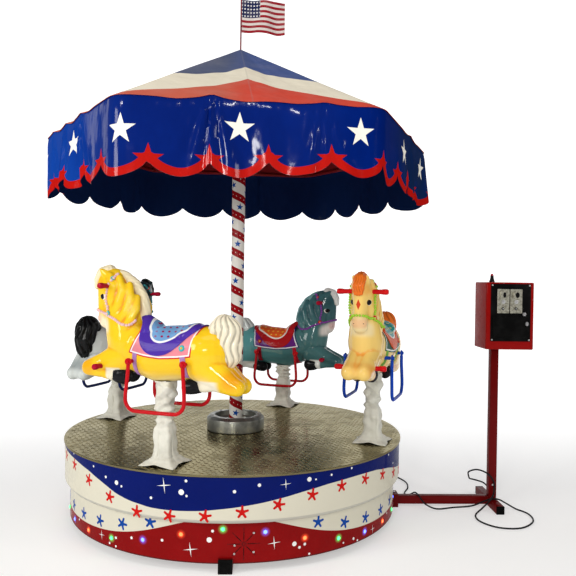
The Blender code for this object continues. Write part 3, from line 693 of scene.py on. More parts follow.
class CAROUSEL_OT_stage(bpy.types.Operator):
    """Set up the camera, the soft lights and the pale floor"""
    bl_idname = "carousel.stage"
    bl_label = "Stage"

    def execute(self, context):
        place_camera()
        lay_floor()
        hang_lights()
        return {"FINISHED"}


# Power cable

CABLE_R = 0.0043
CABLE_ROUTE = milli([(635, 706, 75), (685, 746, 46), (752, 760, 14), (845, 712, 5), (935, 598, 5),
    (1012, 430, 5), (1008, 300, 5), (963, 185, 5), (972, 90, 30), (988, 30, 60.5), (996, -30, 60.5),
    (1020, -75, 32), (1080, -82, 8), (1180, -50, 5), (1280, -38, 9), (1340, -43, 33),
    (1380, -48, 49.5), (1424, -50, 49.5), (1462, -53, 31), (1512, -75, 6), (1550, -150, 5),
    (1530, -260, 5), (1435, -350, 5), (1325, -345, 5), (1260, -265, 5), (1262, -170, 5),
    (1325, -100, 22), (1378, -70, 58), (1406, -34, 92), (1403, -27.2, 142), (1368, -30, 184),
    (1318, -14, 200), (1284, 24, 178), (1297, 70, 142), (1316, 113, 115), (1330, 138.5, 105),
    (1353, 151, 97), (1379, 147, 91), (1397, 130, 88), (1403, 105, 86)])
GLAND_ANGLE = 48.0
GLAND_Z = 0.085
GLAND_LENGTH = 0.03


def gland(name, start, away, finish):
    """A ribbed strain relief that starts on a face and points away from it."""
    rings = [(0.0, 0.0), (0.011, 0.0), (0.011, 0.0035)]
    for rib in range(5):
        z = 0.0045 + rib * 0.005
        radius = 0.0098 - rib * 0.0006
        rings += [(radius, z), (radius, z + 0.003), (radius - 0.0015, z + 0.0034),
                  (radius - 0.0015, z + 0.0046)]
    rings += [(0.0055, GLAND_LENGTH), (0.0, GLAND_LENGTH)]
    piece = turned(name, rings, 20)
    piece.data.transform(shift(start) @ aimed(away))
    return settle(piece, "base", finish, [name], 40)


def build_cable():
    rubber = moulded("cable rubber", (0.012, 0.012, 0.013), 0.45).done()
    away = on_circle(1.0, GLAND_ANGLE)
    start = on_circle(SKIRT_R + 0.0003, GLAND_ANGLE, GLAND_Z)
    tip = start + away * GLAND_LENGTH
    face = vec(STAND_X, 0.0218, 0.086)
    back = vec(0, 1, 0)
    post_tip = face + back * GLAND_LENGTH
    route = [tip + away * 0.0003, tip + away * 0.024]
    route += [Vector(point) for point in CABLE_ROUTE]
    route += [post_tip + back * 0.024, post_tip + back * 0.0003]
    path = [vec(p.x, p.y, max(p.z, CABLE_R + 0.0003)) for p in flowing(route, 5)]
    lead = tube("cable", path, CABLE_R, 12)
    settle(lead, "base", rubber, ["cable"], 0)
    lead.name = "power_cable"
    glands = [gland("cable_gland_base", start, away, rubber),
              gland("cable_gland_post", face, back, rubber)]


class CAROUSEL_OT_cable(bpy.types.Operator):
    """Lay the lead from the drum to the back of the coin post"""
    bl_idname = "carousel.cable"
    bl_label = "Cable"

    def execute(self, context):
        build_cable()
        return {"FINISHED"}


# Drum

BOUNDARY_KNOTS = (      # direction in degrees and height of the blue wave's lower edge
    (-180, 0.372), (-165, 0.386), (-150, 0.38), (-139, 0.363), (-132, 0.338), (-127, 0.314),
    (-121.5, 0.286), (-115, 0.268), (-107, 0.258), (-100, 0.261), (-92, 0.272), (-82, 0.2915),
    (-74, 0.312), (-65, 0.335), (-56, 0.349), (-47, 0.353), (-35, 0.338), (-22, 0.3),
    (-5, 0.268), (10, 0.262), (25, 0.27), (45, 0.3), (65, 0.34), (80, 0.354), (95, 0.345),
    (115, 0.3), (130, 0.268), (145, 0.272), (160, 0.32), (180, 0.372),
)
BELL_AT = -89.0         # direction of the red bell at the drum's foot
BELL_REPEAT = 120.0
BELL_WIDTH = 26.0
BELL_FOOT = 0.095
BELL_RISE = 0.14
SPEAKER_AT = -84.9
SPEAKER_Z = 0.119
RED_STAR_FIRST = -155.7
RED_STAR_STEP = 10.02
BLUE_STAR_FIRST = -152.4
BLUE_STAR_STEP = 10.0
GLOW_R = 0.024
LED_FIRST = -150.8
LED_STEP = 12.0


def wave_height(degrees):
    """Height of the blue wave's lower edge at a direction."""
    knots = BOUNDARY_KNOTS
    degrees = (degrees + 180) % 360 - 180
    for (a, za), (b, zb) in zip(knots, knots[1:]):
        if a <= degrees <= b:
            t = (degrees - a) / (b - a)
            return za + (zb - za) * t
    return knots[0][1]


def bell_off(degrees):
    return (degrees - BELL_AT + BELL_REPEAT / 2) % BELL_REPEAT - BELL_REPEAT / 2


def bell_height(degrees):
    return BELL_FOOT + BELL_RISE * math.exp(-(bell_off(degrees) / BELL_WIDTH) ** 2)


def near_notch(degrees):
    """Whether a direction falls on a notch for the floor cross."""
    return abs((degrees + 45) % 90 - 45) < 3.2


def drum_paint(name):
    """White lacquer with its gloss, ready for a coloured wave. Gives the finish and angle, z."""
    made = lacquer(name, tuple(colours().ivory), 0.24, (0.62, 0.6, 0.52), coat=0.45)
    x, y, z = made.place()
    return made, y.math("ARCTAN2", x) * (360 / TAU), z


def upper_paint():
    made, angle, z = drum_paint("drum paint with the blue wave")
    share = (angle + 180) / 360
    low, high = 0.2, 0.42
    knots = [((a + 180) / 360, (h - low) / (high - low)) for a, h in BOUNDARY_KNOTS]
    edge = made.curve(share, knots) * (high - low) + low
    above = (edge - z).below(0.0, 0.0012)
    patches = made.noise(7.0, 4.0).ramp(0.35, 0.7)
    royal = tuple(colours().royal)
    made.tint(above, royal)
    made.tint(above * patches * 0.5, times(royal, 1.25))
    # Painted shade: greys the rolled lower lip of the turning skirt, which sits in shadow.
    made.tint(z.below(0.226, 0.004), (0.52, 0.51, 0.44))
    return made.done()


def lower_paint():
    made, angle, z = drum_paint("drum paint with the red wave")
    off = (angle - BELL_AT).centred(BELL_REPEAT)
    share = (off / BELL_WIDTH).power(2.0) * -1
    edge = share.math("EXPONENT") * BELL_RISE + BELL_FOOT
    below = (z - edge).below(0.0, 0.0012)
    patches = made.noise(6.0, 4.0).ramp(0.35, 0.75)
    crimson = tuple(colours().crimson)
    made.tint(below, crimson)
    made.tint(below * patches * 0.5, (0.3, 0.0055, 0.006))
    # Painted shade: darkens the foot of the standing skirt where it meets the floor.
    made.tint(z.below(SKIRT_BOTTOM + 0.006, 0.004), (0.1, 0.01, 0.01))
    return made.done()


def stencil(kind, reach, waist=0.4, arms=5):
    """A flat star, dot or sparkle in the XZ plane facing -Y, a fraction of a millimetre thick."""
    if kind == "dot":
        bpy.ops.mesh.primitive_circle_add(vertices=14, radius=reach, fill_type="NGON")
    else:
        corners = 4 if kind == "asterisk" else 2
        bpy.ops.mesh.primitive_circle_add(vertices=corners * arms, radius=reach, fill_type="NGON")
    piece = added("stencil")
    with editing(piece):
        if kind != "dot":
            step = TAU / (corners * arms)
            inner = (2, 3) if kind == "asterisk" else (1,)
            choose(piece, "verts", lambda v: round(math.atan2(v.co.x, v.co.y) / step)
                   % corners in inner)
            resize(waist, waist, 1)
        if kind == "asterisk":
            choose(piece, "verts", lambda v: v.co.length > reach * 0.9)
            bpy.ops.mesh.bevel(offset=reach * 0.13, segments=2, affect="VERTICES")
        if kind == "star":
            pick_all()
            bpy.ops.mesh.poke()
            bpy.ops.mesh.subdivide(number_cuts=2)
        pick_all()
        extrude(0, 0, 0.0004)
        face_outward()
    return piece


def stamped(name, pattern, spots, radius, lift=0.0002):
    """Copies of a flat stencil wrapped round an upright cylinder.

    A spot is (degrees, z, scale, turn in degrees).
    """
    copies = []
    for degrees, z, scale, turn in spots:
        twin = copied(pattern, "stamp")
        cos, sin = math.cos(math.radians(turn)), math.sin(math.radians(turn))
        for vert in twin.data.vertices:
            x, y, out = vert.co
            across = (x * cos - y * sin) * scale
            up = (x * sin + y * cos) * scale
            vert.co = on_circle(radius + lift + out, degrees + math.degrees(across / radius),
                                z + up)
        copies.append(twin)
    discard(pattern)
    return joined(name, copies)


def sectors(spots, height):
    """Repeat the spots of the front on the two hidden sectors, kept as far from the wave."""
    every = []
    for degrees, z, scale, turn in spots:
        for sector in (0, 1, 2):
            away = degrees + sector * BELL_REPEAT
            lifted = z if sector == 0 else z + height(away) - height(degrees)
            every.append((away, lifted, scale, turn))
    return every


def drum_lights():
    """Small domed lamps in dark bezels along the red wave."""
    bezel_black = moulded("lamp bezel", (0.012, 0.012, 0.014), 0.4).done()
    tones = (("violet", (0.1, 0.16, 1.0)), ("scarlet", (1.0, 0.1, 0.03)),
             ("green", (0.05, 0.85, 0.16)))
    glows, halos = [], []
    for name, tone in tones:
        glow = Finish(name + " lamp", tone, 0.2, coat=1.0, emission=4.5)
        glows.append(glow.grain(600.0, 3.0, 0.0002).done())
        halo = lacquer(name + " glow on paint", tuple(colours().crimson), 0.3)
        reach = halo.stored("reach")
        halo.feed(halo.shader.inputs["Emission Color"], tone)
        halo.feed(halo.shader.inputs["Emission Strength"],
                  (1 - reach).most(0.0).power(2.0) * 2.0)
        halos.append(halo.done())
    places = []
    for step in range(30):
        degrees = LED_FIRST + LED_STEP * step
        z = 0.068 + 0.114 * math.exp(-(bell_off(degrees) / 25) ** 2)
        if near_notch(degrees) and z < 0.1:
            continue
        places.append((step, degrees, z))
    bezels, lamps = [], ([], [], [])
    dome = turned("dome", [(0.0, 0.0052), (0.004, 0.0048), (0.0066, 0.0036), (0.0082, 0.0016),
                           (0.0087, 0.0), (0.0, 0.0)], 14)
    ring = turned("ring", [(0.0086, 0.001), (0.0092, 0.001), (0.0096, 0.0), (0.0086, 0.0)], 14,
                  ring=True)
    for step, degrees, z in places:
        matrix = (spin(math.radians(degrees))
                  @ shift((SKIRT_R, 0, z)) @ spin(TAU / 4, "Y"))
        lamps[step % 3].append(copied(dome, "lamp", matrix))
        bezels.append(copied(ring, "bezel", matrix))
    for (tone, _), finish, group in zip(tones, glows, lamps):
        settle(joined("drum_lamps_" + tone, group), "base", finish, angle=60)
    for turn, (tone, _) in enumerate(tones):
        bpy.ops.mesh.primitive_circle_add(vertices=20, radius=GLOW_R, fill_type="TRIFAN",
                                          location=(0, 0, 0))
        disc = added("halo")
        with editing(disc):
            pick_all()
            bpy.ops.mesh.subdivide(number_cuts=1)
        store(disc, "reach", [v.co.length / GLOW_R for v in disc.data.vertices])
        spots = [(a, z, 1.0, 0) for step, a, z in places if step % 3 == turn]
        settle(stamped("drum_glow_" + tone, disc, spots, SKIRT_R, 0.00025), "base",
               halos[turn], angle=0)
    settle(joined("drum_lamp_bezels", bezels), "base", bezel_black)
    discard(dome, ring)


def make_skirts():
    """The turning skirt over the standing one, with its notches and slots."""
    top = DECK_Z - DECK_T - 0.0003
    low = SKIRT_TOP + 0.005
    inner = DRUM_R - DRUM_T
    upper = turned("turning_skirt", [
        (inner, top), (DRUM_R - 0.001, top), (DRUM_R, top - 0.001), (DRUM_R, low + 0.02),
        (DRUM_R - 0.001, low + 0.015), (DRUM_R - 0.011, low + 0.001), (DRUM_R - 0.013, low),
        (inner - 0.011, low), (inner, low + 0.018)], 216, ring=True)
    settle(upper, "turntable", upper_paint(), ["platform_skirt"])
    inner = SKIRT_R - 0.006
    lower = turned("standing_skirt", [
        (inner, SKIRT_TOP), (SKIRT_R, SKIRT_TOP), (SKIRT_R, SKIRT_BOTTOM + 0.002),
        (SKIRT_R - 0.002, SKIRT_BOTTOM), (inner, SKIRT_BOTTOM)], 216, ring=True)
    for turn in range(4):
        half = (0.07 if turn == 0 else 0.06) / 2 + 0.0003
        notch = block("notch", (0.8, -half, -0.01), (0.9, half, 2 * half))
        notch.data.transform(spin(TAU * turn / 4))
        carve(lower, notch)
    for slot in range(8):
        hole = block("slot", (0.8, -0.0016, 0.016), (0.9, 0.0016, 0.046), 0.0012, 2)
        hole.data.transform(spin(math.radians(SPEAKER_AT))
                            @ shift((0, 0, SPEAKER_Z))
                            @ spin(TAU * slot / 8, "X"))
        carve(lower, hole)
    settle(lower, "base", lower_paint(), ["base_skirt"])


def make_loudspeaker():
    """Holes, screws and the cone behind the slots."""
    dark = moulded("loudspeaker cloth", (0.01, 0.01, 0.011), 0.8).done()
    holes = []
    for arm in range(8):
        for step in range(11):
            reach = 0.006 + 0.006 * step
            across = reach * math.cos(TAU * arm / 8)
            holes.append((SPEAKER_AT + math.degrees(across / SKIRT_R),
                          SPEAKER_Z + reach * math.sin(TAU * arm / 8), 1.0, 0))
    holes = stamped("loudspeaker_holes", stencil("dot", 0.0017), holes, SKIRT_R)
    settle(holes, "base", dark)
    screws = []
    for across, up in ((0.041, 0.045), (-0.038, -0.005), (-0.039, -0.04), (0.041, -0.035)):
        at = on_circle(SKIRT_R + 0.0002, SPEAKER_AT + math.degrees(across / SKIRT_R),
                       SPEAKER_Z + up)
        away = vec(at.x, at.y, 0).normalized()
        screws.append(rod("screw", at, at + away * 0.0034, 0.0048, 16, 0.0016))
    chrome = satin_steel("loudspeaker screws", (0.6, 0.58, 0.56), 0.3).done()
    settle(joined("loudspeaker_screws", screws), "base", chrome, angle=50)
    grille = turned("loudspeaker", [(0, 0), (0.03, 0.001), (0.052, 0.008), (0.058, 0.012),
                                    (0.058, 0.0), (0.064, 0.0), (0.064, -0.012), (0, -0.012)], 32)
    grille.data.transform(spin(math.radians(SPEAKER_AT))
                          @ shift((SKIRT_R - 0.019, 0, SPEAKER_Z))
                          @ spin(TAU / 4, "Y"))
    settle(grille, "base", dark)


def stamp_stars():
    """Red stars under the upper wave and blue ones over the lower wave."""
    crimson = lacquer("star red", (0.56, 0.008, 0.006), 0.3).done()
    blue = lacquer("star blue", (0.006, 0.062, 0.34), 0.3).done()
    reach = sizes().asterisk
    spots = []
    for step in range(36):
        degrees = RED_STAR_FIRST + RED_STAR_STEP * step
        steep = -140 < (degrees + 180) % 360 - 180 < -115
        drop = 0.036 if steep else 0.024
        spots.append((degrees, wave_height(degrees) - drop, 1.0, 9 * math.sin(step * 2.1)))
    red_stars = stamped("drum_stars_red", stencil("asterisk", reach, 0.41), spots, DRUM_R)
    settle(red_stars, "turntable", crimson)
    spots = []
    for step in range(36):
        degrees = BLUE_STAR_FIRST + BLUE_STAR_STEP * step
        if abs(bell_off(degrees)) < 22.5:
            continue
        spots.append((degrees, min(bell_height(degrees) + 0.034, 0.188), 1.0,
                      12 * math.sin(step * 1.7)))
    blue_stars = stamped("drum_stars_blue", stencil("asterisk", reach, 0.41), spots, SKIRT_R)
    settle(blue_stars, "base", blue)


def stamp_dots():
    """White dots and gleams, and the copies of both on the far side."""
    white = lacquer("dot white", (0.86, 0.87, 0.86), 0.3, (0.6, 0.6, 0.6)).done()
    dots = [(-133.2, 0.382, 5), (-127.4, 0.352, 6), (-123, 0.339, 10), (-121.1, 0.328, 5),
            (-111.1, 0.301, 6), (-102.2, 0.337, 12), (-100.7, 0.323, 5), (-100.9, 0.385, 6),
            (-87.7, 0.346, 7), (-81, 0.37, 7), (-66.6, 0.377, 10), (-64.5, 0.373, 4),
            (-59.3, 0.382, 5), (-51.7, 0.393, 5), (-31, 0.392, 5), (-146.4, 0.397, 4)]
    spots = [(a, z, mm / 10, 0) for a, z, mm in dots]
    spots = [spot for spot in sectors(spots, wave_height)
             if wave_height(spot[0]) + 0.012 < spot[1] < 0.398]
    upper_dots = stamped("upper_dots", stencil("dot", 0.01), spots, DRUM_R)
    gleams = sectors([(-107.2, 0.359, 1.0, 8), (-73.6, 0.367, 0.72, 4), (-35.7, 0.385, 0.5, 0)],
                     wave_height)
    gleams = [g for g in gleams if g[1] < 0.385]
    upper_gleams = stamped("upper_gleams", stencil("sparkle", 0.034, 0.1, 4), gleams, DRUM_R,
                           0.0003)
    settle(joined("drum_dots_upper", [upper_dots, upper_gleams]), "turntable", white)
    dots = [(-127.6, 0.055, 5), (-124.9, 0.05, 5), (-124.9, 0.087, 6), (-118.8, 0.105, 6),
            (-108.5, 0.119, 6), (-94.6, 0.136, 11), (-93, 0.122, 6), (-93.7, 0.173, 6),
            (-70.1, 0.101, 10), (-68.5, 0.083, 6), (-66.8, 0.093, 6), (-65.3, 0.048, 5),
            (-48.4, 0.061, 6), (-46.5, 0.046, 5), (-52.8, 0.058, 4), (-26.1, 0.087, 5)]
    spots = [(a, z, mm / 10, 0) for a, z, mm in dots]
    lower_dots = stamped("lower_dots", stencil("dot", 0.01), [
        s for s in sectors(spots, lambda a: 0.0) if not near_notch(s[0])], SKIRT_R)
    gleams = sectors([(-131.4, 0.078, 0.7, 5), (-100, 0.092, 1.0, 8), (-76.2, 0.115, 0.9, 5),
                      (-38.1, 0.064, 0.6, 0)], lambda a: 0.0)
    lower_gleams = stamped("lower_gleams", stencil("sparkle", 0.032, 0.1, 4), gleams, SKIRT_R,
                           0.0003)
    settle(joined("drum_dots_lower", [lower_dots, lower_gleams]), "base", white)


class CAROUSEL_OT_drum(bpy.types.Operator):
    """Build the painted standing skirt and turning skirt with their stars and lights"""
    bl_idname = "carousel.drum"
    bl_label = "Drum"

    def execute(self, context):
        make_skirts()
        make_loudspeaker()
        stamp_stars()
        stamp_dots()
        drum_lights()
        return {"FINISHED"}


# Deck

def plate_finish(name, colour, rough):
    """Bright rolled plate: grey smears, warm dust and soft ripples under the raised bars."""
    made = Finish(name, colour, 0.2, metallic=1.0)
    made.feed(made.shader.inputs["Specular Tint"], (0.8, 0.77, 0.66))
    smears = made.noise(5.0, 5.0)
    made.tint(smears.ramp(0.42, 0.7, 0.0, 0.55), times(colour, 0.55))
    made.blotch(38.0, 4.0, 0.55, 0.8, 0.4, times(colour, 1.25))
    made.rough = made.noise(11.0, 5.0).ramp(0.3, 0.7, rough - 0.06, rough + 0.12)
    made.grain(16.0, 2.0, 0.003, 0.25)
    made.grain(300.0, 2.0, 0.0002, 0.25)
    return made.done()


def tread_bar(length):
    """One raised bar of the tread: a low lozenge pointed at both ends."""
    bpy.ops.mesh.primitive_circle_add(vertices=8, radius=1.0, fill_type="NGON")
    piece = added("tread_bar")
    with editing(piece):
        pick_all()
        resize(length / 2, length * 0.17, 1)
        bpy.ops.mesh.select_mode(type="FACE")
        choose(piece, "faces", lambda f: True)
        extrude(0, 0, 0.0013)
        resize(0.62, 0.42, 1)
    return piece


STRIPE_PITCH = 0.1003
STRIPE_AT = -87.7
STRIPE_Z = 1.255
POLE_STAR_AT = -105.7
POLE_STAR_Z = 1.211
POLE_STAR_STEP = 141
POST_HOLE_R = 0.0207
TREAD_TURN = 28
TREAD_START = 0.157
BOLT_CIRCLE = 0.125


def make_pole():
    low = DECK_Z + 0.0003
    pole = turned("striped_pole", [(0, POLE_TOP), (POLE_R - 0.002, POLE_TOP),
                                   (POLE_R, POLE_TOP - 0.002), (POLE_R, low), (0, low)], 96)
    with editing(pole):
        for z in (0.8, 1.2, 1.6, 2.0):
            pick_all()
            bpy.ops.mesh.bisect(plane_co=(0, 0, z), plane_no=(0, 0, 1))
    paint = lacquer("pole paint", (0.8, 0.79, 0.74), 0.22, (0.6, 0.56, 0.48), coat=0.5)
    x, y, z = paint.place()
    angle = y.math("ARCTAN2", x) * (360 / TAU)
    turns = (z - STRIPE_Z) / STRIPE_PITCH + (angle - STRIPE_AT) / 360
    off = abs(turns.centred(1.0))
    band = off.below(0.21, 0.012)
    paint.tint(band, (0.3, 0.006, 0.01))
    paint.tint(band * paint.noise(30.0).ramp(0.45, 0.75, 0.0, 0.5), (0.2, 0.003, 0.006))
    along = angle.centred(36.0) * (POLE_R * TAU / 360)
    down = turns.centred(1.0) * STRIPE_PITCH + along * 0.45
    dots = along.span(down).below(0.0024, 0.0006)
    paint.tint(dots * band, (0.88, 0.8, 0.74))
    settle(pole, "turntable", paint.done(), ["centre_pole"])
    spots = []
    for step in range(-28, 19):
        spots.append((POLE_STAR_AT + POLE_STAR_STEP * step,
                      POLE_STAR_Z - STRIPE_PITCH * POLE_STAR_STEP / 360 * step, 1.0,
                      14 * math.sin(step * 1.3)))
    blue = lacquer("pole star blue", (0.008, 0.07, 0.34), 0.3).done()
    stars = stamped("pole_stars", stencil("star", 0.0195, 0.42), spots, POLE_R)
    settle(stars, "turntable", blue)


def make_plate():
    plate = plate_finish("tread plate", (0.213, 0.18, 0.096), 0.2)
    under = DECK_Z - DECK_T
    deck = turned("deck_plate", [
        (0, DECK_Z), (DECK_R - 0.0012, DECK_Z), (DECK_R, DECK_Z - 0.0015),
        (DECK_R, under + 0.001), (DECK_R - 0.001, under), (0.1, under), (0.1, 0.3),
        (0.0443, 0.3), (0.0443, under - 0.01), (0, under - 0.01)], 216)
    for angle, _ in HORSES.values():
        foot = on_circle(HORSE_RADIUS, angle)
        carve(deck, rod("hole", foot + vec(0, 0, under - 0.02),
                        foot + vec(0, 0, DECK_Z + 0.02), POST_HOLE_R, 32))
    settle(deck, "turntable", plate, ["platform"])


def make_tread():
    """Raised bars over the whole deck, in pairs that stand across each other."""
    worn = plate_finish("tread plate bars", (0.467, 0.41, 0.24), 0.36)
    length = sizes().tread
    pitch = length * 1.06
    first = tread_bar(length)
    second = copied(first, "tread_bar_across", shift((pitch, 0, 0)) @ spin(TAU / 4))
    pair = joined("tread", [first, second])
    pair.data.transform(shift((pitch / 2, pitch / 2, 0)))
    count = int(2 * DECK_R / pitch) + 2
    modify(pair, "ARRAY", count=count // 2 + 1, use_relative_offset=False,
           use_constant_offset=True, constant_offset_displace=(2 * pitch, 0, 0))
    rows = copied(pair, "tread_between", shift((pitch, pitch, 0)))
    field = joined("tread", [pair, rows])
    modify(field, "ARRAY", count=count // 2 + 1, use_relative_offset=False,
           use_constant_offset=True, constant_offset_displace=(0, 2 * pitch, 0))
    half = count * pitch / 2
    field.data.transform(spin(math.radians(TREAD_TURN))
                         @ shift((-half, -half, DECK_Z - 0.0001)))
    shape = bmesh.new()
    shape.from_mesh(field.data)
    stray = []
    seen = set()
    for start in shape.verts:
        if start in seen:
            continue
        island, queue = [], [start]
        seen.add(start)
        while queue:
            vert = queue.pop()
            island.append(vert)
            for edge in vert.link_edges:
                other = edge.other_vert(vert)
                if other not in seen:
                    seen.add(other)
                    queue.append(other)
        far = max(math.hypot(v.co.x, v.co.y) for v in island)
        near = min(math.hypot(v.co.x, v.co.y) for v in island)
        if far > DECK_R - 0.004 or near < TREAD_START:
            stray += island
    bmesh.ops.delete(shape, geom=stray, context="VERTS")
    shape.to_mesh(field.data)
    shape.free()
    settle(field, "turntable", worn, angle=0)


def make_collar():
    low = DECK_Z + 0.0003
    collar = turned("hub_ring", [
        (0.11, low + 0.077), (0.112, low + 0.0775), (0.137, low + 0.0775),
        (0.1395, low + 0.0765), (0.1525, low + 0.0635), (0.153, low + 0.0615),
        (0.153, low + 0.004), (0.151, low + 0.001), (0.15, low), (POLE_R + 0.0003, low),
        (POLE_R + 0.0003, low + 0.05), (0.06, low + 0.05), (0.064, low + 0.046),
        (0.1, low + 0.046), (0.108, low + 0.052)], 96, ring=True)
    cast = Finish("machined collar", (0.34, 0.35, 0.32), 0.36, metallic=0.85)
    patina = cast.noise(14.0, 5.0)
    cast.tint(patina.ramp(0.45, 0.7, 0.0, 0.8), (0.16, 0.165, 0.155))
    cast.rough = patina.ramp(0.3, 0.7, 0.26, 0.5)
    cast.bump(cast.noise(40.0, 3.0, stretch=(1, 1, 9)), 0.0008, 0.5)
    settle(collar, "turntable", cast.done(), ["hub_collar"])
    chrome = satin_steel("bolt steel", (0.55, 0.55, 0.56)).done()
    bolts = []
    for turn in range(6):
        at = on_circle(BOLT_CIRCLE, 60 * turn + 14, low + 0.0772)
        bolts.append(rod("bolt", at, at + vec(0, 0, 0.004), 0.0055, 6, 0.0008))
    settle(joined("hub_ring_bolts", bolts), "turntable", chrome)


class CAROUSEL_OT_deck(bpy.types.Operator):
    """Build the tread plate deck, the hub collar and the striped pole"""
    bl_idname = "carousel.deck"
    bl_label = "Deck and pole"

    def execute(self, context):
        make_plate()
        make_tread()
        make_collar()
        make_pole()
        return {"FINISHED"}


# Canopy

SEAM_Z = RIM_Z - 0.0033
VALANCE_ROWS = 26
VALANCE_COLUMNS = 480
ROOF_COLUMNS = 288
ROOF_ROWS = 30
HOOP_INSET = 0.027
HOOP_Z = 1.928
HUB_TOP = POLE_TOP - 0.03
FLAG_TOP = 2.724
FLAG_WIDTH = 0.235
FLAG_HEIGHT = 0.175
CANTON_SHARE = 0.42
CANTON_FOOT = 0.4615
STAR_COLUMN = 0.07
STAR_ROW = 0.1077
CUSPS = (               # directions where two scallops meet, all the way round
    -151.0, -136.0, -120.8, -107.8, -94.8, -80.5, -65.8, -52.5, -39.0, -25.0, -10.5, 4.5, 20.2,
    36.0, 51.7, 67.4, 83.2, 98.9, 114.6, 130.3, 146.1, 161.8, 177.5, 193.3, 209.0,
)
HANG = (                # direction and how much lower the cut edge hangs there
    (-180, 0.004), (-150, 0.01), (-118, 0.02), (-104, 0.012), (-88, 0.007), (-72, -0.009),
    (-56, -0.008), (-30, 0.0), (60, 0.004), (120, -0.003), (180, 0.004),
)
WHITE_STAR_DOWN = 0.108
STAR_NUDGE = {1: (0.018, 0.026)}      # a star that hangs askew: along and down
PUCKERS = (             # direction, spread in degrees, height and depth of a pinched fold
    (-94.3, 2.6, 0.017, 1.0), (-67.0, 2.2, 0.009, 0.5), (-138.0, 2.4, 0.012, 0.8),
    (-20.0, 2.5, 0.01, 0.7), (31.0, 2.4, 0.012, 0.8), (84.0, 2.6, 0.012, 0.9),
    (134.0, 2.2, 0.011, 0.7), (-166.0, 2.0, 0.01, 0.8), (-152.5, 2.0, 0.01, 0.8),
)


def rim_radius(degrees):
    """Distance from the axis to the canopy rim: straight sides with bent corners."""
    side, off = divmod((degrees - CANOPY_TURN) % 360.0, 60.0)
    start = RIM_CORNERS[int(side) % 6]
    end = RIM_CORNERS[(int(side) + 1) % 6]
    straight = (start * end * math.sin(math.radians(60.0))
                / (start * math.sin(math.radians(off)) + end * math.sin(math.radians(60.0 - off))))
    near = max(0.0, 1.0 - min(off, 60.0 - off) / 3.2)
    return straight - 0.016 * near ** 2


def turn_between(a, b):
    return (a - b + 180.0) % 360.0 - 180.0


def rim_lift(degrees):
    """How far the cloth stands above its seam line where it is pinched, or sags below it."""
    lift = 0.0
    for at, spread, high, _ in PUCKERS:
        off = turn_between(degrees, at)
        lift += high * math.exp(-abs(off / spread) ** 1.5)
        lift -= high * 0.35 * math.exp(-((abs(off) - 3.2 * spread) / (1.2 * spread)) ** 2)
    return lift


def scallop_at(degrees):
    """Number of the scallop at a direction and the share of its width."""
    degrees = (degrees - CUSPS[0]) % 360.0 + CUSPS[0]
    for number, (start, end) in enumerate(zip(CUSPS, CUSPS[1:])):
        if degrees < end:
            return number, (degrees - start) / (end - start)
    return 0, 0.0


def lobe_at(degrees):
    return math.sin(math.pi * scallop_at(degrees)[1]) ** 0.6


def cut_depth(degrees):
    """Length of the border at a direction, from its seam to its scalloped edge."""
    turn = (degrees + 180.0) % 360.0 - 180.0
    extra = float(np.interp(turn, *zip(*HANG)))
    return SEAM_Z - VALANCE_BOTTOM + extra - SCALLOP_DEPTH * (1 - lobe_at(degrees))


def border_swing(degrees, down):
    """How far a hanging fold stands out at a share of the way down."""
    turn = math.radians(degrees)
    slow = math.sin(9 * turn + 0.8 * math.sin(3 * turn + 1.0)) * 0.5
    slow += math.sin(14 * turn + 1.3 * math.sin(2 * turn)) * 0.32
    fine = math.sin(29 * turn + 2.4 * math.sin(5 * turn)) * 0.26
    swing = 0.034 * (slow + fine) * down ** 1.1
    for at, spread, _, deep in PUCKERS:
        off = turn_between(degrees, at) / (0.3 * spread + 1.55 * spread * down)
        fan = math.cos(off * 5.2 + 0.6 * math.sin(off * 2.0)) * math.exp(-(off / 1.6) ** 2)
        swing += 0.015 * deep * fan * down ** 0.5 * (1.15 - 0.6 * down)
    return swing


def border_point(degrees, down):
    """A point of the border: down runs from 0 at the seam to 1 at the scalloped edge."""
    drop = cut_depth(degrees)
    radius = rim_radius(degrees) + border_swing(degrees, down)
    near_top = max(0.0, 1.0 - down * 6)
    radius -= 0.006 * near_top ** 2
    z = SEAM_Z + 0.002 - drop * down + rim_lift(degrees) * (1 - down) ** 2
    return on_circle(radius, degrees, z)


def rim_length(degrees):
    """Length of the rim from direction 0, for whole turns both ways."""
    turns, rest = divmod(degrees, 360.0)
    return turns * RIM_ARC[-1] + float(np.interp(rest, RIM_TURN, RIM_ARC))


RIM_TURN = np.arange(0.0, 360.25, 0.25)
RIM_SPOTS = np.array([on_circle(rim_radius(turn), turn) for turn in RIM_TURN])
RIM_ARC = np.concatenate([[0.0], np.cumsum(
    np.linalg.norm(np.diff(RIM_SPOTS, axis=0), axis=1))])


def mark_uv(piece, place):
    """Give each face corner the UV that place() reads from its vertex, seam faces included."""
    data = piece.data
    layer = data.uv_layers.active or data.uv_layers.new(name="flat")
    for face in data.polygons:
        spots = [place(data.vertices[data.loops[loop].vertex_index]) for loop in face.loop_indices]
        crosses = max(s[0] for s in spots) - min(s[0] for s in spots) > 180
        for loop, (u, v) in zip(face.loop_indices, spots):
            layer.data[loop].uv = (u + 360 if crosses and u < 180 else u, v)


def store(piece, name, values):
    """Keep one number for each vertex."""
    layer = piece.data.attributes.new(name, "FLOAT", "POINT")
    layer.data.foreach_set("value", values)


def star_mask(across, up, reach, waist=0.382, soft=0.0012):
    """One inside a five-pointed star, made of five straight-sided points."""
    radius = across.span(up)
    angle = abs(across.math("ARCTAN2", up).centred(TAU / 5))
    x = angle.math("COSINE") * radius
    y = angle.math("SINE") * radius
    notch = vec(math.cos(TAU / 10), math.sin(TAU / 10)) * waist * reach
    side = (notch - vec(reach, 0)).normalized()
    return ((x - reach) * side.y - y * side.x).below(0.0, soft)


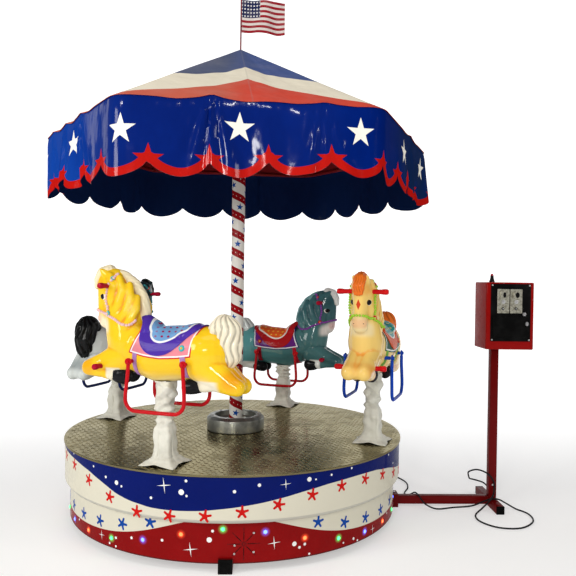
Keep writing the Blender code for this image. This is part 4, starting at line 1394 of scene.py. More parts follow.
def lined(piece, outside, inside, node, angle):
    """Give a cloth its thickness, its outer finish and its lining."""
    piece.data.materials.append(outside)
    piece.data.materials.append(inside)
    modify(piece, "SOLIDIFY", thickness=0.0014, offset=-1.0, material_offset=1,
           material_offset_rim=0)
    alone(piece)
    bpy.ops.object.shade_smooth_by_angle(angle=math.radians(angle))
    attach(piece, "turntable")
    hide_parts(node)


def vinyl(name, colour, rough=0.22):
    """Coated cloth: a glossy skin with faint crush marks and a fine weave below."""
    made = Finish(name, colour, rough, coat=0.35, specular=0.0)
    crush = made.noise(22.0, 5.0, rough=0.65)
    made.rough = crush.ramp(0.35, 0.75, rough - 0.05, rough + 0.16)
    made.bump(made.noise(5.0, 3.0, stretch=(1, 1, 0.5)), 0.03, 0.55)
    made.bump(crush, 0.0014, 0.25)
    made.grain(700.0, 1.0, 0.0001, 0.2)
    return made


def make_canopy_steel():
    enamel = lacquer("canopy enamel", (0.2, 0.012, 0.014), 0.35, (0.05, 0.02, 0.02)).done()
    hub_low = HUB_TOP - 0.09
    hub = turned("canopy_hub", [
        (0.0354, HUB_TOP), (0.05, HUB_TOP), (0.052, HUB_TOP - 0.002),
        (0.052, hub_low + 0.012), (0.058, hub_low + 0.01), (0.058, hub_low + 0.002),
        (0.056, hub_low), (0.0354, hub_low)], 48, ring=True)
    settle(hub, "turntable", enamel, ["canopy_frame"])
    hoop_path = [on_circle(rim_radius(2 * step) - HOOP_INSET, 2 * step, HOOP_Z)
                 for step in range(180)]
    hoop = as_mesh(tube("canopy_hoop", hoop_path, 0.01, 12, closed=True))
    settle(hoop, "turntable", enamel, ["canopy_frame"])
    arms = []
    for side in range(6):
        start = CANOPY_TURN + 60 * side
        corner = on_circle(rim_radius(start) - HOOP_INSET, start, HOOP_Z)
        root = on_circle(0.045, start, HUB_TOP - 0.03)
        arms.append(rod("arm", root, corner, 0.009, 16))
        sleeve = corner + (root - corner).normalized() * 0.045
        arms.append(rod("sleeve", corner, sleeve, 0.0125, 16, 0.002))
        ear = root + (corner - root).normalized() * 0.03
        arms.append(block("ear", ear - vec(0.014, 0.014, 0.01),
                          ear + vec(0.014, 0.014, 0.01), 0.003))
    settle(joined("canopy_arms", arms), "turntable", enamel, ["canopy_frame"])


def make_roof():
    roof = open_tube("roof_cloth", ROOF_COLUMNS, ROOF_ROWS)
    shares = []
    for vert in roof.data.vertices:
        row = round(-vert.co.z)
        share = 0.007 + (1 - 0.007) * (row / ROOF_ROWS)
        degrees = math.degrees(math.atan2(vert.co.y, vert.co.x))
        shares.append(share)
        vert.co = roof_point(degrees, share)
    store(roof, "share", shares)
    flip_out(roof, lambda faces: faces[0].normal.z >= 0)
    skin = vinyl("roof vinyl", (0.6, 0.07, 0.045), 0.34)
    share = skin.stored("share")
    x, y, _ = skin.place()
    angle = y.math("ARCTAN2", x) * (360 / TAU)
    middle = abs((angle - CANOPY_TURN).centred(60.0)) / 30
    white = (share + middle * 0.311).below(0.957, 0.004)
    blue = (share + middle * 0.21).below(0.62, 0.004)
    skin.tint(white, (0.78, 0.72, 0.59))
    skin.tint(blue, (0.065, 0.1, 0.26))
    # Painted reflection: on the -X side the blue is greyed and the red and blue lightened, standing
    # for the room's glare on that side.
    skin.tint(x.ramp(0.1, -0.1, 0.0, 0.55) * blue, (0.115, 0.12, 0.135))
    skin.tint(x.ramp(0.1, -0.1, 0.0, 0.35) * (1 - white), (0.52, 0.22, 0.14))
    ridge = abs((angle - CANOPY_TURN).centred(30.0)) * share
    skin.tint(ridge.below(0.22, 0.1) * 0.16, (0.25, 0.24, 0.24))
    skin.blotch(4.0, 5.0, 0.42, 0.75, 0.14, (0.45, 0.42, 0.38))
    under = vinyl("roof lining", (0.16, 0.01, 0.012), 0.4)
    lined(roof, skin.done(), under.done(), "canopy_roof", 40)
    area = sum(0.5 * rim_radius(a) ** 2 * math.radians(1) for a in range(360)) * 1.12


def roof_point(degrees, share):
    """The tent: straight ridges and a little sag between them, laid over the hoop."""
    between = abs(math.sin(math.radians((degrees - CANOPY_TURN) * 6)))
    drop = 0.012 * between * math.sin(math.pi * min(share, 1.0))
    reach = rim_radius(degrees) / RIM_R
    blend = min(1.0, share * 6)
    z = APEX_Z - (APEX_Z - RIM_Z) * share - drop
    turn = math.radians(degrees)
    wrinkle = math.sin(23 * turn + 3 * math.sin(4 * turn)) * 0.6
    wrinkle += math.sin(41 * turn + 2 * math.sin(7 * turn + share * 6)) * 0.4
    z += 0.0022 * wrinkle * math.sin(math.pi * share) + rim_lift(degrees) * share ** 14
    return on_circle(RIM_R * share * (blend * reach + 1 - blend), degrees, z)


def make_border():
    border = open_tube("border_cloth", VALANCE_COLUMNS, VALANCE_ROWS)
    edge = np.array([(rim_length(step / 8), cut_depth(step / 8)) for step in range(-80, 2960)])
    places, hems = [], []
    for vert in border.data.vertices:
        down = round(-vert.co.z) / VALANCE_ROWS
        degrees = math.degrees(math.atan2(vert.co.y, vert.co.x)) % 360
        here = (rim_length(degrees), cut_depth(degrees) * down)
        first = int(degrees * 8) + 80
        near = edge[max(0, first - 34):first + 35] - here
        hems.append(float(np.sqrt((near ** 2).sum(axis=1).min())))
        places.append((degrees, here[1]))
        vert.co = border_point(degrees, down)
    store(border, "hem", hems)
    mark_uv(border, lambda vert: places[vert.index])
    number_scallops(border, places)
    flip_out(border, lambda faces: faces[0].normal.xy.dot(faces[0].center.xy) >= 0)
    skin = vinyl("border vinyl", tuple(colours().border), 0.2)
    across = skin.place()[0]
    # Painted light and shade: the -X side of the border is painted a brighter blue, as lit, and the
    # +X side a darker blue, as in shade.
    skin.tint(across.ramp(-0.35, -0.85, 0.0, 0.9), (0.006, 0.052, 0.33))
    skin.tint(across.ramp(0.6, 0.9, 0.0, 0.9), (0.006, 0.019, 0.062))
    facing = across.ramp(-0.52, -0.72, 0.4, 0.03).least(across.ramp(0.36, 0.52, 0.4, 0.01))
    skin.feed(skin.shader.inputs["Coat Weight"], facing)
    skin.shader.inputs["Coat Roughness"].default_value = 0.11
    skin.blotch(3.0, 4.0, 0.4, 0.7, 0.5, (0.001, 0.017, 0.19))
    hem = skin.stored("hem")
    scarlet = tuple(colours().scarlet)
    red_star = star_mask(skin.stored("from_cusp"), skin.stored("above_cusp"), 0.062)
    skin.tint(hem.below(sizes().hem, 0.0015).most(red_star), scarlet)
    white_star = star_mask(skin.stored("from_middle"), skin.stored("above_middle"),
                           sizes().star)
    skin.tint(white_star, (0.86, 0.84, 0.76))
    skin.tint(hem.below(0.0016, 0.0006), (0.3, 0.01, 0.012))
    lining = vinyl("border lining", (0.005, 0.017, 0.075), 0.22)
    lined(border, skin.done(), lining.done(), "canopy_valance", 50)


def number_scallops(border, places):
    """Measure each face corner along the cloth from its nearest cusp and white star."""
    data = border.data
    cusps = [(rim_length(turn), cut_depth(turn)) for turn in CUSPS[:-1]]
    middles = []
    for order, (a, b) in enumerate(zip(CUSPS[0::2], CUSPS[1::2])):
        aside, below = STAR_NUDGE.get(order, (0, 0))
        middles.append((rim_length((a + b) / 2) + aside, WHITE_STAR_DOWN + below))
    whole = RIM_ARC[-1]
    along = [rim_length(degrees) for degrees, _ in places]
    values = {"from_cusp": [], "above_cusp": [], "from_middle": [], "above_middle": []}

    def off(a, b):
        return (a - b + whole / 2) % whole - whole / 2

    for face in data.polygons:
        corners = [data.loops[loop].vertex_index for loop in face.loop_indices]
        first = along[corners[0]]
        centre = first + sum(off(along[c], first) for c in corners) / len(corners)
        cusp, depth = min(cusps, key=lambda spot: abs(off(spot[0], centre)))
        middle, low = min(middles, key=lambda spot: abs(off(spot[0], centre)))
        for corner in corners:
            values["from_cusp"].append(off(along[corner], cusp))
            values["above_cusp"].append(depth - 0.002 - places[corner][1])
            values["from_middle"].append(off(along[corner], middle))
            values["above_middle"].append(low - places[corner][1])
    for key, numbers in values.items():
        layer = data.attributes.new(key, "FLOAT", "CORNER")
        layer.data.foreach_set("value", numbers)


def make_flag():
    steel = satin_steel("flag pole paint", (0.25, 0.02, 0.03), 0.4).done()
    pole = rod("flag_staff", (0, 0, POLE_TOP + 0.0003), (0, 0, FLAG_TOP - 0.004), 0.004, 16)
    knob = turned("knob", [
        (0, FLAG_TOP), (0.003, FLAG_TOP - 0.001), (0.005, FLAG_TOP - 0.004),
        (0.0052, FLAG_TOP - 0.007), (0.004, FLAG_TOP - 0.01), (0, FLAG_TOP - 0.01)], 16)
    settle(joined("flag_staff", [pole, knob]), "turntable", steel,
           ["flag_pole"])
    bpy.ops.mesh.primitive_grid_add(x_subdivisions=64, y_subdivisions=40, size=1.0,
                                    location=(0, 0, 0), calc_uvs=True)
    flag = added("flag_cloth")
    heading = math.radians(2.0)
    run = vec(math.cos(heading), math.sin(heading), 0)
    cross = vec(-run.y, run.x, 0)
    spots = []
    for vert in flag.data.vertices:
        s, t = vert.co.x + 0.5, vert.co.y + 0.5
        spots.append((s, t))
        wave = 0.012 * math.sin(s * 8.0 + (1 - t) * 1.1) * min(1, s * 3)
        wave += 0.0035 * math.sin(s * 17 + t * 3) * s
        sag = 0.01 * s ** 2 + 0.004 * math.sin(s * 9 + 1.0) * s
        vert.co = (run * (0.0043 + s * FLAG_WIDTH * 0.985) + cross * wave
                   + vec(0, 0, FLAG_TOP - 0.006 - (1 - t) * FLAG_HEIGHT - sag * 0.6))
    mark_uv(flag, lambda vert: spots[vert.index])
    modify(flag, "SOLIDIFY", thickness=0.0012, offset=0.0)
    cloth = Finish("flag cloth", (0.62, 0.56, 0.53), 0.75, sheen=0.1)
    u, v, _ = cloth.place(uv=True)
    stripe = (v * 6.5).wrap(1.0).below(0.5, 0.02)
    cloth.tint(stripe, (0.27, 0.01, 0.018))
    canton = u.below(CANTON_SHARE, 0.004) * (1 - v.below(CANTON_FOOT, 0.004))
    cloth.tint(canton, (0.008, 0.015, 0.065))
    cell_u = (u / STAR_COLUMN).centred(1.0) * STAR_COLUMN * FLAG_WIDTH
    cell_v = (((v - CANTON_FOOT) / STAR_ROW - 0.5).centred(1.0)
              * STAR_ROW * FLAG_HEIGHT)
    stars = star_mask(cell_u, cell_v, 0.0062, 0.42, 0.0006)
    cloth.tint(stars * canton, (0.85, 0.84, 0.82))
    cloth.grain(900.0, 1.0, 0.0002, 0.5)
    cloth.blotch(30.0, 3.0, 0.4, 0.7, 0.2, (0.3, 0.25, 0.25))
    settle(flag, "turntable", cloth.done(), ["flag"], 60)


class CAROUSEL_OT_canopy(bpy.types.Operator):
    """Build the steel frame, the tented roof, the scalloped border and the flag"""
    bl_idname = "carousel.canopy"
    bl_label = "Canopy"

    def execute(self, context):
        make_canopy_steel()
        make_roof()
        make_border()
        make_flag()
        return {"FINISHED"}


# Standing base and coin stand

STAND_X = 1.402
STAND_TUBE = 0.043
BOX_LEFT = 1.317
BOX_W = 0.255
BOX_FRONT = -0.12
BOX_DEPTH = 0.19
BOX_BOTTOM = 0.866
BOX_TOP = 1.222
PANEL_LEFT = 1.34
PANEL_W = 0.214
PANEL_LOW = 0.91
PANEL_TOP = 1.214
PANEL_FACE = -0.1233
RECESS_LEFT = 1.364
RECESS_RIGHT = 1.53
RECESS_LOW = 0.944
RECESS_HIGH = 1.028
HINGE_Y = -0.1271
DOOR_LEFT = 1.35
DOOR_LOW = 0.93
DOOR_W = 0.194
DOOR_H = 0.112
PLATE_W = 0.064
PLATE_H = 0.127
PLATE_LOW = 1.059
PLATE_FACE = -0.1266


def build_base():
    enamel = lacquer("stand enamel", (0.125, 0.0032, 0.0034), 0.36, (0.05, 0.003, 0.003)).done()
    plastic = moulded("end cap plastic", (0.003, 0.003, 0.003), 0.5).done()
    repaint(enamel, "base_frame", "bearing_pedestal")
    for name, tube_side in (("end_cap_front", 0.06), ("end_cap_back", 0.06),
                            ("end_cap_left", 0.06), ("foot_cap_front", STAND_TUBE),
                            ("foot_cap_back", STAND_TUBE)):
        low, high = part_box(name)
        cap = block(name + "_plug", low, high, 0.003, 3)
        axis = 0 if "left" in name else 1
        outward = -1 if axis == 0 or "front" in name else 1
        with editing(cap, "FACE"):
            edge = (low if outward < 0 else high)[axis]
            choose(cap, "faces", lambda f: all(abs(v.co[axis] - edge) < 1e-5 for v in f.verts))
            bpy.ops.mesh.inset(thickness=tube_side * 0.14, depth=0)
            bpy.ops.mesh.inset(thickness=0.0015, depth=-0.0022)
        settle(cap, "base", plastic, [name])


class CAROUSEL_OT_base(bpy.types.Operator):
    """Finish the floor cross, its end caps and the pedestal"""
    bl_idname = "carousel.base"
    bl_label = "Floor cross"

    def execute(self, context):
        build_base()
        return {"FINISHED"}


def stand_fittings(enamel):
    """Weld beads and set screws where the stand's tubes meet."""
    half = STAND_TUBE / 2
    pieces = []
    ring = [(STAND_X - half, -half), (STAND_X + half, -half), (STAND_X + half, half),
            (STAND_X - half, half)]
    path = [vec(x, y, STAND_TUBE + 0.001) for x, y in ring]
    pieces.append(as_mesh(tube("weld", path, 0.0022, 8, closed=True)))
    for side in (-1, 1):
        start = vec(STAND_X - half - 0.001, side * (half - 0.004), 0.016)
        pieces.append(as_mesh(tube("weld", [start, start + vec(0, 0, 0.034)], 0.002, 8)))
    settle(joined("stand_welds", pieces), "base", enamel, angle=60)
    chrome = satin_steel("screw steel", (0.6, 0.6, 0.6), 0.3).done()
    screws = []
    for at in (vec(0.868, 0, 0.0703), vec(STAND_X, -half - 0.0003, 0.12)):
        away = vec(0, 0, 1) if at.x < 1 else vec(0, -1, 0)
        screws.append(rod("screw", at, at + away * 0.004, 0.0065, 6, 0.0008))
    settle(joined("stand_screws", screws), "base", chrome)


def make_coin_box():
    red = lacquer("coin box red", (0.25, 0.0042, 0.0036), 0.3, (0.17, 0.003, 0.003), coat=0.4)
    right = BOX_LEFT + BOX_W
    case = block("coin_box_case", (BOX_LEFT, BOX_FRONT, BOX_BOTTOM),
                 (right, BOX_FRONT + BOX_DEPTH, BOX_TOP), 0.006, 4)
    carve(case, block("recess", (RECESS_LEFT, BOX_FRONT - 0.02, RECESS_LOW),
                      (RECESS_RIGHT, BOX_FRONT + 0.11, RECESS_HIGH)))
    paint = red.done()
    settle(case, "base", paint, ["coin_box"])
    trim = []
    back = BOX_FRONT + BOX_DEPTH
    for z in (BOX_BOTTOM + 0.05, BOX_TOP - 0.05):
        for x in (BOX_LEFT + 0.04, right - 0.04):
            at = vec(x, back + 0.0002, z)
            trim.append(rod("rivet", at, at + vec(0, 0.0025, 0), 0.005, 16, 0.0015))
    at = vec(BOX_LEFT + 0.011, BOX_FRONT - 0.0002, 1.05)
    trim.append(rod("rivet", at, at - vec(0, 0.002, 0), 0.0035, 16, 0.0012))
    settle(joined("coin_box_rivets", trim), "base", paint)
    louvres = []
    for row in range(4):
        z = BOX_BOTTOM + 0.075 + row * 0.016
        slat = block("slat", (right - 0.0005, -0.055, z), (right + 0.0025, 0.005, z + 0.006),
                     0.0012, 2)
        louvres.append(slat)
    settle(joined("coin_box_louvres", louvres), "base", paint)


def make_signal_lamp():
    lamp_red = Finish("signal lens", (0.34, 0.006, 0.02), 0.15, coat=1.0)
    lamp_red = lamp_red.grain(200.0, 3.0, 0.0004).done()
    foot_black = moulded("lamp foot", (0.01, 0.01, 0.011), 0.4).done()
    at = vec(BOX_LEFT + 0.045, BOX_FRONT + 0.05, BOX_TOP + 0.0003)
    foot = turned("signal_lamp_foot", [
        (0, 0), (0.0145, 0), (0.0145, 0.005), (0.0125, 0.009), (0.0098, 0.019),
        (0.0088, 0.024), (0.008, 0.0345), (0, 0.0345)], 32)
    tip = turned("signal_lamp_tip", [
        (0, 0.0346), (0.0076, 0.0346), (0.0074, 0.0385), (0.0062, 0.0425), (0.0036, 0.0452),
        (0, 0.046)], 32)
    for piece in (foot, tip):
        piece.data.transform(shift(at))
    settle(foot, "base", foot_black, ["signal_lamp"])
    settle(tip, "base", lamp_red, ["signal_lamp"])


def make_panel():
    finish = moulded("panel black", (0.0025, 0.0025, 0.0025), 0.42).done()
    panel = block("front_panel_plate", (PANEL_LEFT, PANEL_FACE, PANEL_LOW),
                  (PANEL_LEFT + PANEL_W, BOX_FRONT - 0.0003, PANEL_TOP), 0.001, 2)
    carve(panel, block("recess", (RECESS_LEFT, PANEL_FACE - 0.02, RECESS_LOW),
                       (RECESS_RIGHT, 0.0, RECESS_HIGH)))
    settle(panel, "base", finish, ["front_panel"])
    bright = satin_steel("screw heads", (0.62, 0.62, 0.62), 0.3).done()
    screws = []
    for x in (PANEL_LEFT + 0.008, PANEL_LEFT + PANEL_W - 0.008):
        for z in (PANEL_LOW + 0.008, PANEL_TOP - 0.008):
            at = vec(x, PANEL_FACE - 0.0001, z)
            screw = rod("screw", at, at - vec(0, 0.0024, 0), 0.0044, 20, 0.0009)
            carve(screw, block("cross", at - vec(0.0028, 0.004, 0.0006),
                               at + vec(0.0028, -0.0014, 0.0006)))
            screws.append(screw)
    settle(joined("front_panel_screws", screws), "base", bright)


def make_coin_plates():
    brass = Finish("coin plate metal", (0.46, 0.45, 0.37), 0.36, metallic=0.7)
    wear = brass.noise(70.0, 5.0)
    brass.tint(wear.ramp(0.42, 0.62, 0.0, 0.85), (0.2, 0.19, 0.15))
    brass.rough = wear.ramp(0.3, 0.7, 0.26, 0.48)
    brass.bump(brass.noise(80.0, 3.0, stretch=(1, 1, 12)), 0.0003, 0.5)
    brass = brass.done()
    dark = moulded("slot black", (0.006, 0.006, 0.006), 0.6).done()
    bright = bpy.data.materials["screw heads"]
    for side, left, lens in (("left", 1.374, 0.0075), ("right", 1.443, 0.01)):
        plate = block(f"coin_plate_{side}_cast", (left, PLATE_FACE, PLATE_LOW),
                      (left + PLATE_W, PANEL_FACE - 0.0003, PLATE_LOW + PLATE_H), 0.0016, 3)
        with editing(plate, "FACE"):
            choose(plate, "faces", lambda f: f.normal.y < -0.9)
            bpy.ops.mesh.inset(thickness=0.003, depth=0)
            bpy.ops.mesh.inset(thickness=0.0008, depth=-0.0008)
        top = PLATE_LOW + PLATE_H
        inlays = []
        slot = block("slot", (left + 0.012, -0.14, top - 0.048), (left + 0.0165, -0.11, top - 0.014),
                     0.0018, 3)
        carve(plate, slot)
        inlays.append(block("slot_back", (left + 0.011, PLATE_FACE + 0.0018, top - 0.049),
                            (left + 0.0175, PLATE_FACE + 0.0026, top - 0.013), 0.0003, 1))
        lens_at = vec(left + 0.038, PLATE_FACE + 0.0006, top - 0.031)
        eye = rod("eye", lens_at, lens_at - vec(0, 0.0022, 0), 0.011, 32, 0.0012)
        for vert in eye.data.vertices:
            vert.co.x = lens_at.x + (vert.co.x - lens_at.x) * lens / 0.01
            vert.co.z = lens_at.z + (vert.co.z - lens_at.z) * 1.35
        inlays.append(eye)
        low = vec(left + 0.03, PLATE_FACE + 0.0006, PLATE_LOW + 0.024)
        inlays.append(rod("keyhole", low, low - vec(0, 0.0018, 0), 0.0078, 28, 0.0008))
        settle(joined(f"coin_plate_{side}_inlays", inlays), "base", dark)
        settle(plate, "base", brass, ["coin_plate_" + side])
        knobs = []
        button = vec(left + 0.032, PLATE_FACE + 0.0006, PLATE_LOW + 0.06)
        knobs.append(rod("button", button, button - vec(0, 0.0052, 0), 0.0085, 28, 0.0016))
        knobs.append(rod("rim", button, button - vec(0, 0.0024, 0), 0.0112, 28, 0.001))
        knobs.append(rod("knob", low, low - vec(0, 0.0046, 0), 0.0036, 20, 0.0012))
        settle(joined(f"coin_plate_{side}_buttons", knobs), "base", bright)


def make_panel_lock():
    at = vec(PANEL_LEFT + 0.179, PANEL_FACE - 0.0003, PLATE_LOW - 0.004)
    grey = satin_steel("lock steel", (0.52, 0.52, 0.53), 0.3).done()
    barrel = turned("panel_lock_barrel", [
        (0, 0), (0.0104, 0), (0.0104, 0.003), (0.0094, 0.0048), (0.0084, 0.005),
        (0.008, 0.0108), (0.007, 0.012), (0.0058, 0.0118), (0.0052, 0.0105), (0, 0.0105)], 40)
    barrel.data.transform(shift(at) @ spin(TAU / 4, "X"))
    key = block("key_slot", at + vec(-0.0008, -0.0125, -0.0032),
                at + vec(0.0008, -0.009, 0.0032))
    carve(barrel, key)
    settle(barrel, "base", grey, ["panel_lock"])


def make_door():
    finish = bpy.data.materials["panel black"]
    face = PANEL_FACE - 0.0003 - 0.004
    door = block("cash_door_plate", (DOOR_LEFT, face, DOOR_LOW),
                 (DOOR_LEFT + DOOR_W, face + 0.004, DOOR_LOW + DOOR_H), 0.0012, 2)
    with editing(door, "FACE"):
        choose(door, "faces", lambda f: f.normal.y < -0.9)
        bpy.ops.mesh.inset(thickness=0.0035, depth=0)
        bpy.ops.mesh.inset(thickness=0.0008, depth=-0.0006)
    settle(door, "cash_door", finish, ["cash_door"])
    knuckles = []
    for z in (DOOR_LOW + 0.014, DOOR_LOW + DOOR_H - 0.038):
        at = vec(DOOR_LEFT, HINGE_Y, z)
        knuckles.append(rod("knuckle", at, at + vec(0, 0, 0.024), 0.0036, 20, 0.0006))
    settle(joined("cash_door_hinges", knuckles), "cash_door", finish)
    steel = bpy.data.materials["lock steel"]
    at = vec(DOOR_LEFT + DOOR_W - 0.012, face - 0.0003, DOOR_LOW + DOOR_H - 0.038)
    lock = turned("cash_door_lock_barrel", [
        (0, 0), (0.009, 0), (0.009, 0.0035), (0.0082, 0.005), (0.0072, 0.0052),
        (0.0068, 0.009), (0.006, 0.01), (0.0045, 0.0098), (0.004, 0.0088), (0, 0.0088)], 36)
    lock.data.transform(shift(at) @ spin(TAU / 4, "X")
                        @ Matrix.Diagonal((1.0, 1.25, 1.0, 1.0)))
    carve(lock, block("key_slot", at + vec(-0.0007, -0.0105, -0.0028),
                      at + vec(0.0007, -0.0075, 0.0028)))
    settle(lock, "cash_door", steel, ["cash_door_lock"])


class CAROUSEL_OT_coin_stand(bpy.types.Operator):
    """Build the outrigger, the post and the coin box with its panel, plates, door and lamp"""
    bl_idname = "carousel.coin_stand"
    bl_label = "Coin stand"

    def execute(self, context):
        enamel = bpy.data.materials["stand enamel"]
        for name in ("outrigger_arm", "stand_foot_bar", "stand_post"):
            low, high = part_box(name)
            settle(block(name + "_tube", low, high, 0.0035, 3), "base", enamel,
                   [name])
        stand_fittings(enamel)
        make_coin_box()
        make_signal_lamp()
        make_panel()
        make_coin_plates()
        make_panel_lock()
        make_door()
        return {"FINISHED"}


# Horses, modelled once in their own frame: the post is the z axis and the head points to +X

VOXEL = 0.0055

TRUNK = milli([[(180, 0, 925, 103, 76), (30, 0, 883, 116, 100)],
    [(30, 0, 883, 116, 100), (-202, 0, 903, 112, 97)]])
FRONT = milli([[(180, 0, 940, 100, 84), (215, 0, 1080, 90, 62)],
    [(215, 0, 1080, 90, 62), (262, 0, 1180, 78, 48)],
    [(280, 0, 1193, 68, 42), (297, 0, 1092, 49, 34)],
    [(297, 0, 1092, 49, 34), (301, 0, 1032, 37, 36)],
    [(262, 0, 1135, 58, 43), (286, 0, 1062, 43, 34)],
    [(303, 0, 1018, 29, 36), (288, 0, 1004, 20, 28)],
    [(280, 0, 842, 44, 50), (360, 0, 813, 30, 45)],
    [(-225, 0, 846, 60, 60), (-346, 0, 772, 35, 42)],
    [(200, 0, 985, 98, 70), (190, 0, 900, 95, 72)]])
# Each of these is made on both sides
PAIRED = milli([[(254, 23, 1134, 42, 23), (262, 20, 1112, 40, 22)],
    [(299, 28, 1150, 17, 12), (280, 32, 1156, 12, 10)],
    [(320, 22, 1036, 15, 13), (312, 25, 1046, 14, 12)],
    [(286, 28, 1222, 24, 14), (312, 32, 1248, 10, 8)],
    [(168, 38, 920, 82, 42), (150, 36, 965, 60, 38)],
    [(-190, 44, 902, 92, 57), (-210, 43, 862, 68, 50)],
    [(190, 37, 875, 66, 40), (298, 34, 838, 44, 36)],
    [(298, 36, 838, 44, 38), (364, 35, 815, 37, 36)],
    [(366, 35, 812, 34, 35), (296, 34, 799, 26, 30)],
    [(296, 34, 799, 26, 30), (245, 34, 793, 30, 31)],
    [(-192, 44, 858, 76, 52), (-330, 36, 774, 40, 36)],
    [(-330, 36, 774, 40, 36), (-352, 34, 768, 36, 34)],
    [(-343, 34, 766, 34, 32), (-246, 34, 773, 25, 27)],
    [(-246, 34, 773, 25, 27), (-200, 34, 769, 30, 29)]])
# Sculpted locks down the neck: points of a chain and its radius
LOCKS = milli([[(262, 40, 1225), (240, 50, 1180), (248, 52, 1125), (262, 46, 1075)],
    [(215, 38, 1215), (190, 50, 1160), (205, 57, 1105), (232, 57, 1055)],
    [(165, 34, 1185), (150, 50, 1125), (165, 61, 1070), (200, 66, 1026)],
    [(128, 32, 1130), (122, 50, 1085), (138, 64, 1042), (168, 72, 1000)]])
LOCK_RADII = (0.016, 0.021, 0.02, 0.01)
MANE = milli([(318, 1238, 22), (270, 1234, 26), (214, 1220, 28), (162, 1184, 30), (124, 1128, 31),
    (110, 1070, 30), (114, 1030, 22)])
FORELOCK = milli([(290, 0, 1246, 28, 29), (324, 0, 1240, 24, 30), (345, 0, 1208, 19, 29),
    (350, 0, 1174, 13, 24)])
TAIL = milli([(-250, 1004, 40, 56), (-274, 1020, 48, 58), (-292, 998, 57, 57), (-300, 945, 56, 54),
    (-305, 898, 45, 44), (-304, 866, 24, 26)])
SADDLE_LUMPS = milli([[(66, 0, 985, 42, 64), (96, 0, 1016, 34, 30)],
    [(96, 0, 1016, 34, 30), (104, 0, 1034, 20, 14)],
    [(-115, 0, 965, 46, 86), (-150, 0, 982, 36, 74)]])
BLANKET = milli([(126, 901), (108, 940), (92, 980), (80, 1080), (-196, 1080), (-186, 1010),
    (-170, 960), (-163, 896), (-106, 888), (-22, 882), (51, 888)])
SADDLE = milli([(120, 1090), (112, 1052), (90, 1020), (88, 985), (78, 944), (53, 912), (20, 895),
    (-16, 891), (-58, 901), (-100, 928), (-141, 967), (-178, 1000), (-196, 1030), (-196, 1090)])
SEAT = milli([(52, 1090), (50, 1020), (42, 988), (26, 962), (0, 947), (-32, 945), (-74, 959),
    (-112, 984), (-150, 1010), (-156, 1090)])
GIRTHS = milli([[(88, 910), (110, 910), (124, 790), (102, 790)],
    [(-118, 910), (-142, 910), (-146, 800), (-122, 800)]])

# Paints in thousandths, for yellow, cream, teal and grey
PAINTS = {
    "coat": ((860, 550, 16), (840, 580, 160), (55, 150, 155), (600, 640, 620)),
    "shade": ((780, 210, 4), (800, 240, 10), (12, 45, 60), (200, 250, 270)),
    "belly": ((860, 720, 360), (840, 680, 340), (100, 300, 300), (700, 720, 680)),
    "muzzle": ((860, 740, 520), (840, 680, 360), (660, 620, 580), (300, 300, 300)),
    "lip": ((700, 300, 220), (720, 320, 160), (550, 250, 240), (400, 220, 220)),
    "mane": ((840, 740, 500), (840, 560, 140), (160, 340, 350), (5, 5.5, 6)),
    "mane_shade": ((550, 360, 150), (700, 250, 30), (20, 70, 90), (2, 2, 2)),
    "forelock": ((840, 740, 500), (760, 160, 18), (720, 740, 720), (5, 5.5, 6)),
    "tail": ((840, 770, 600), (780, 170, 20), (620, 680, 660), (5, 5.5, 6)),
    "fetlock": ((860, 800, 620), (700, 360, 120), (800, 820, 780), (420, 440, 430)),
    "hoof": ((12, 12, 14), (14, 12, 12), (10, 11, 13), (4, 4, 4)),
    "saddle": ((70, 30, 340), (620, 80, 12), (420, 12, 16), (15, 30, 150)),
    "seat": ((160, 340, 600), (30, 260, 250), (720, 100, 20), (50, 220, 340)),
    "dot": ((300, 10, 80), (700, 600, 100), (800, 450, 50), (750, 720, 650)),
    "line": ((840, 840, 840), (840, 840, 820), (840, 820, 760), (800, 820, 820)),
    "blanket": ((780, 250, 300), (12, 85, 55), (130, 20, 200), (20, 35, 120)),
    "edge": ((860, 860, 850), (840, 850, 820), (840, 840, 840), (780, 800, 800)),
    "outline": ((620, 15, 30), (15, 100, 60), (20, 30, 140), (10, 20, 90)),
    "strap": ((420, 220, 500), (160, 420, 40), (400, 12, 30), (20, 30, 120)),
    "bead": ((800, 550, 580), (340, 620, 50), (240, 60, 360), (50, 320, 340)),
    "rosette": ((60, 480, 520), (600, 20, 20), (500, 15, 30), (550, 20, 20)),
    "heart": ((720, 450, 50), (800, 700, 300), (700, 420, 60), (720, 620, 300)),
    "iron": ((520, 8, 14), (10, 55, 420), (520, 8, 14), (10, 18, 100)),
}
COATS = {colour: {key: milli(row[order]) for key, row in PAINTS.items()}
         for order, colour in enumerate(("yellow", "cream", "teal", "grey"))}


def mirrored(chain):
    return [(x, -y, z, r, w) for x, y, z, r, w in chain]


def fused(name, chains, voxel=VOXEL, rounds=3):
    """Fuse the convex hulls of chained ellipsoids (x, y, z, radius, half width) into one body."""
    spans = [pair for chain in chains for pair in zip(chain, chain[1:])]

    def ball(x, y, z, radius, width):
        bpy.ops.mesh.primitive_uv_sphere_add(segments=20, ring_count=12, radius=1.0,
                                             location=(x, y, z), scale=(radius, width, radius))

    ball(*spans[0][0])
    piece = added(name)
    bake_place(piece)
    alone(piece)
    bpy.ops.object.mode_set(mode="EDIT")
    for order, (start, end) in enumerate(spans):
        if order:
            ball(*start)
        ball(*end)
        if order:
            shape = bmesh.from_edit_mesh(piece.data)
            for vert in shape.verts:
                vert.select_set(not vert.hide)
            shape.select_flush_mode()
        else:
            pick_all()
        bpy.ops.mesh.convex_hull()
        bpy.ops.mesh.hide(unselected=False)
    bpy.ops.mesh.reveal()
    bpy.ops.object.mode_set(mode="OBJECT")
    modify(piece, "REMESH", mode="VOXEL", voxel_size=voxel)
    modify(piece, "SMOOTH", factor=0.5, iterations=rounds)
    return piece


def coordinates(piece):
    return read(piece.data.vertices, "co")


def normals(piece):
    return read(piece.data.vertex_normals, "vector")


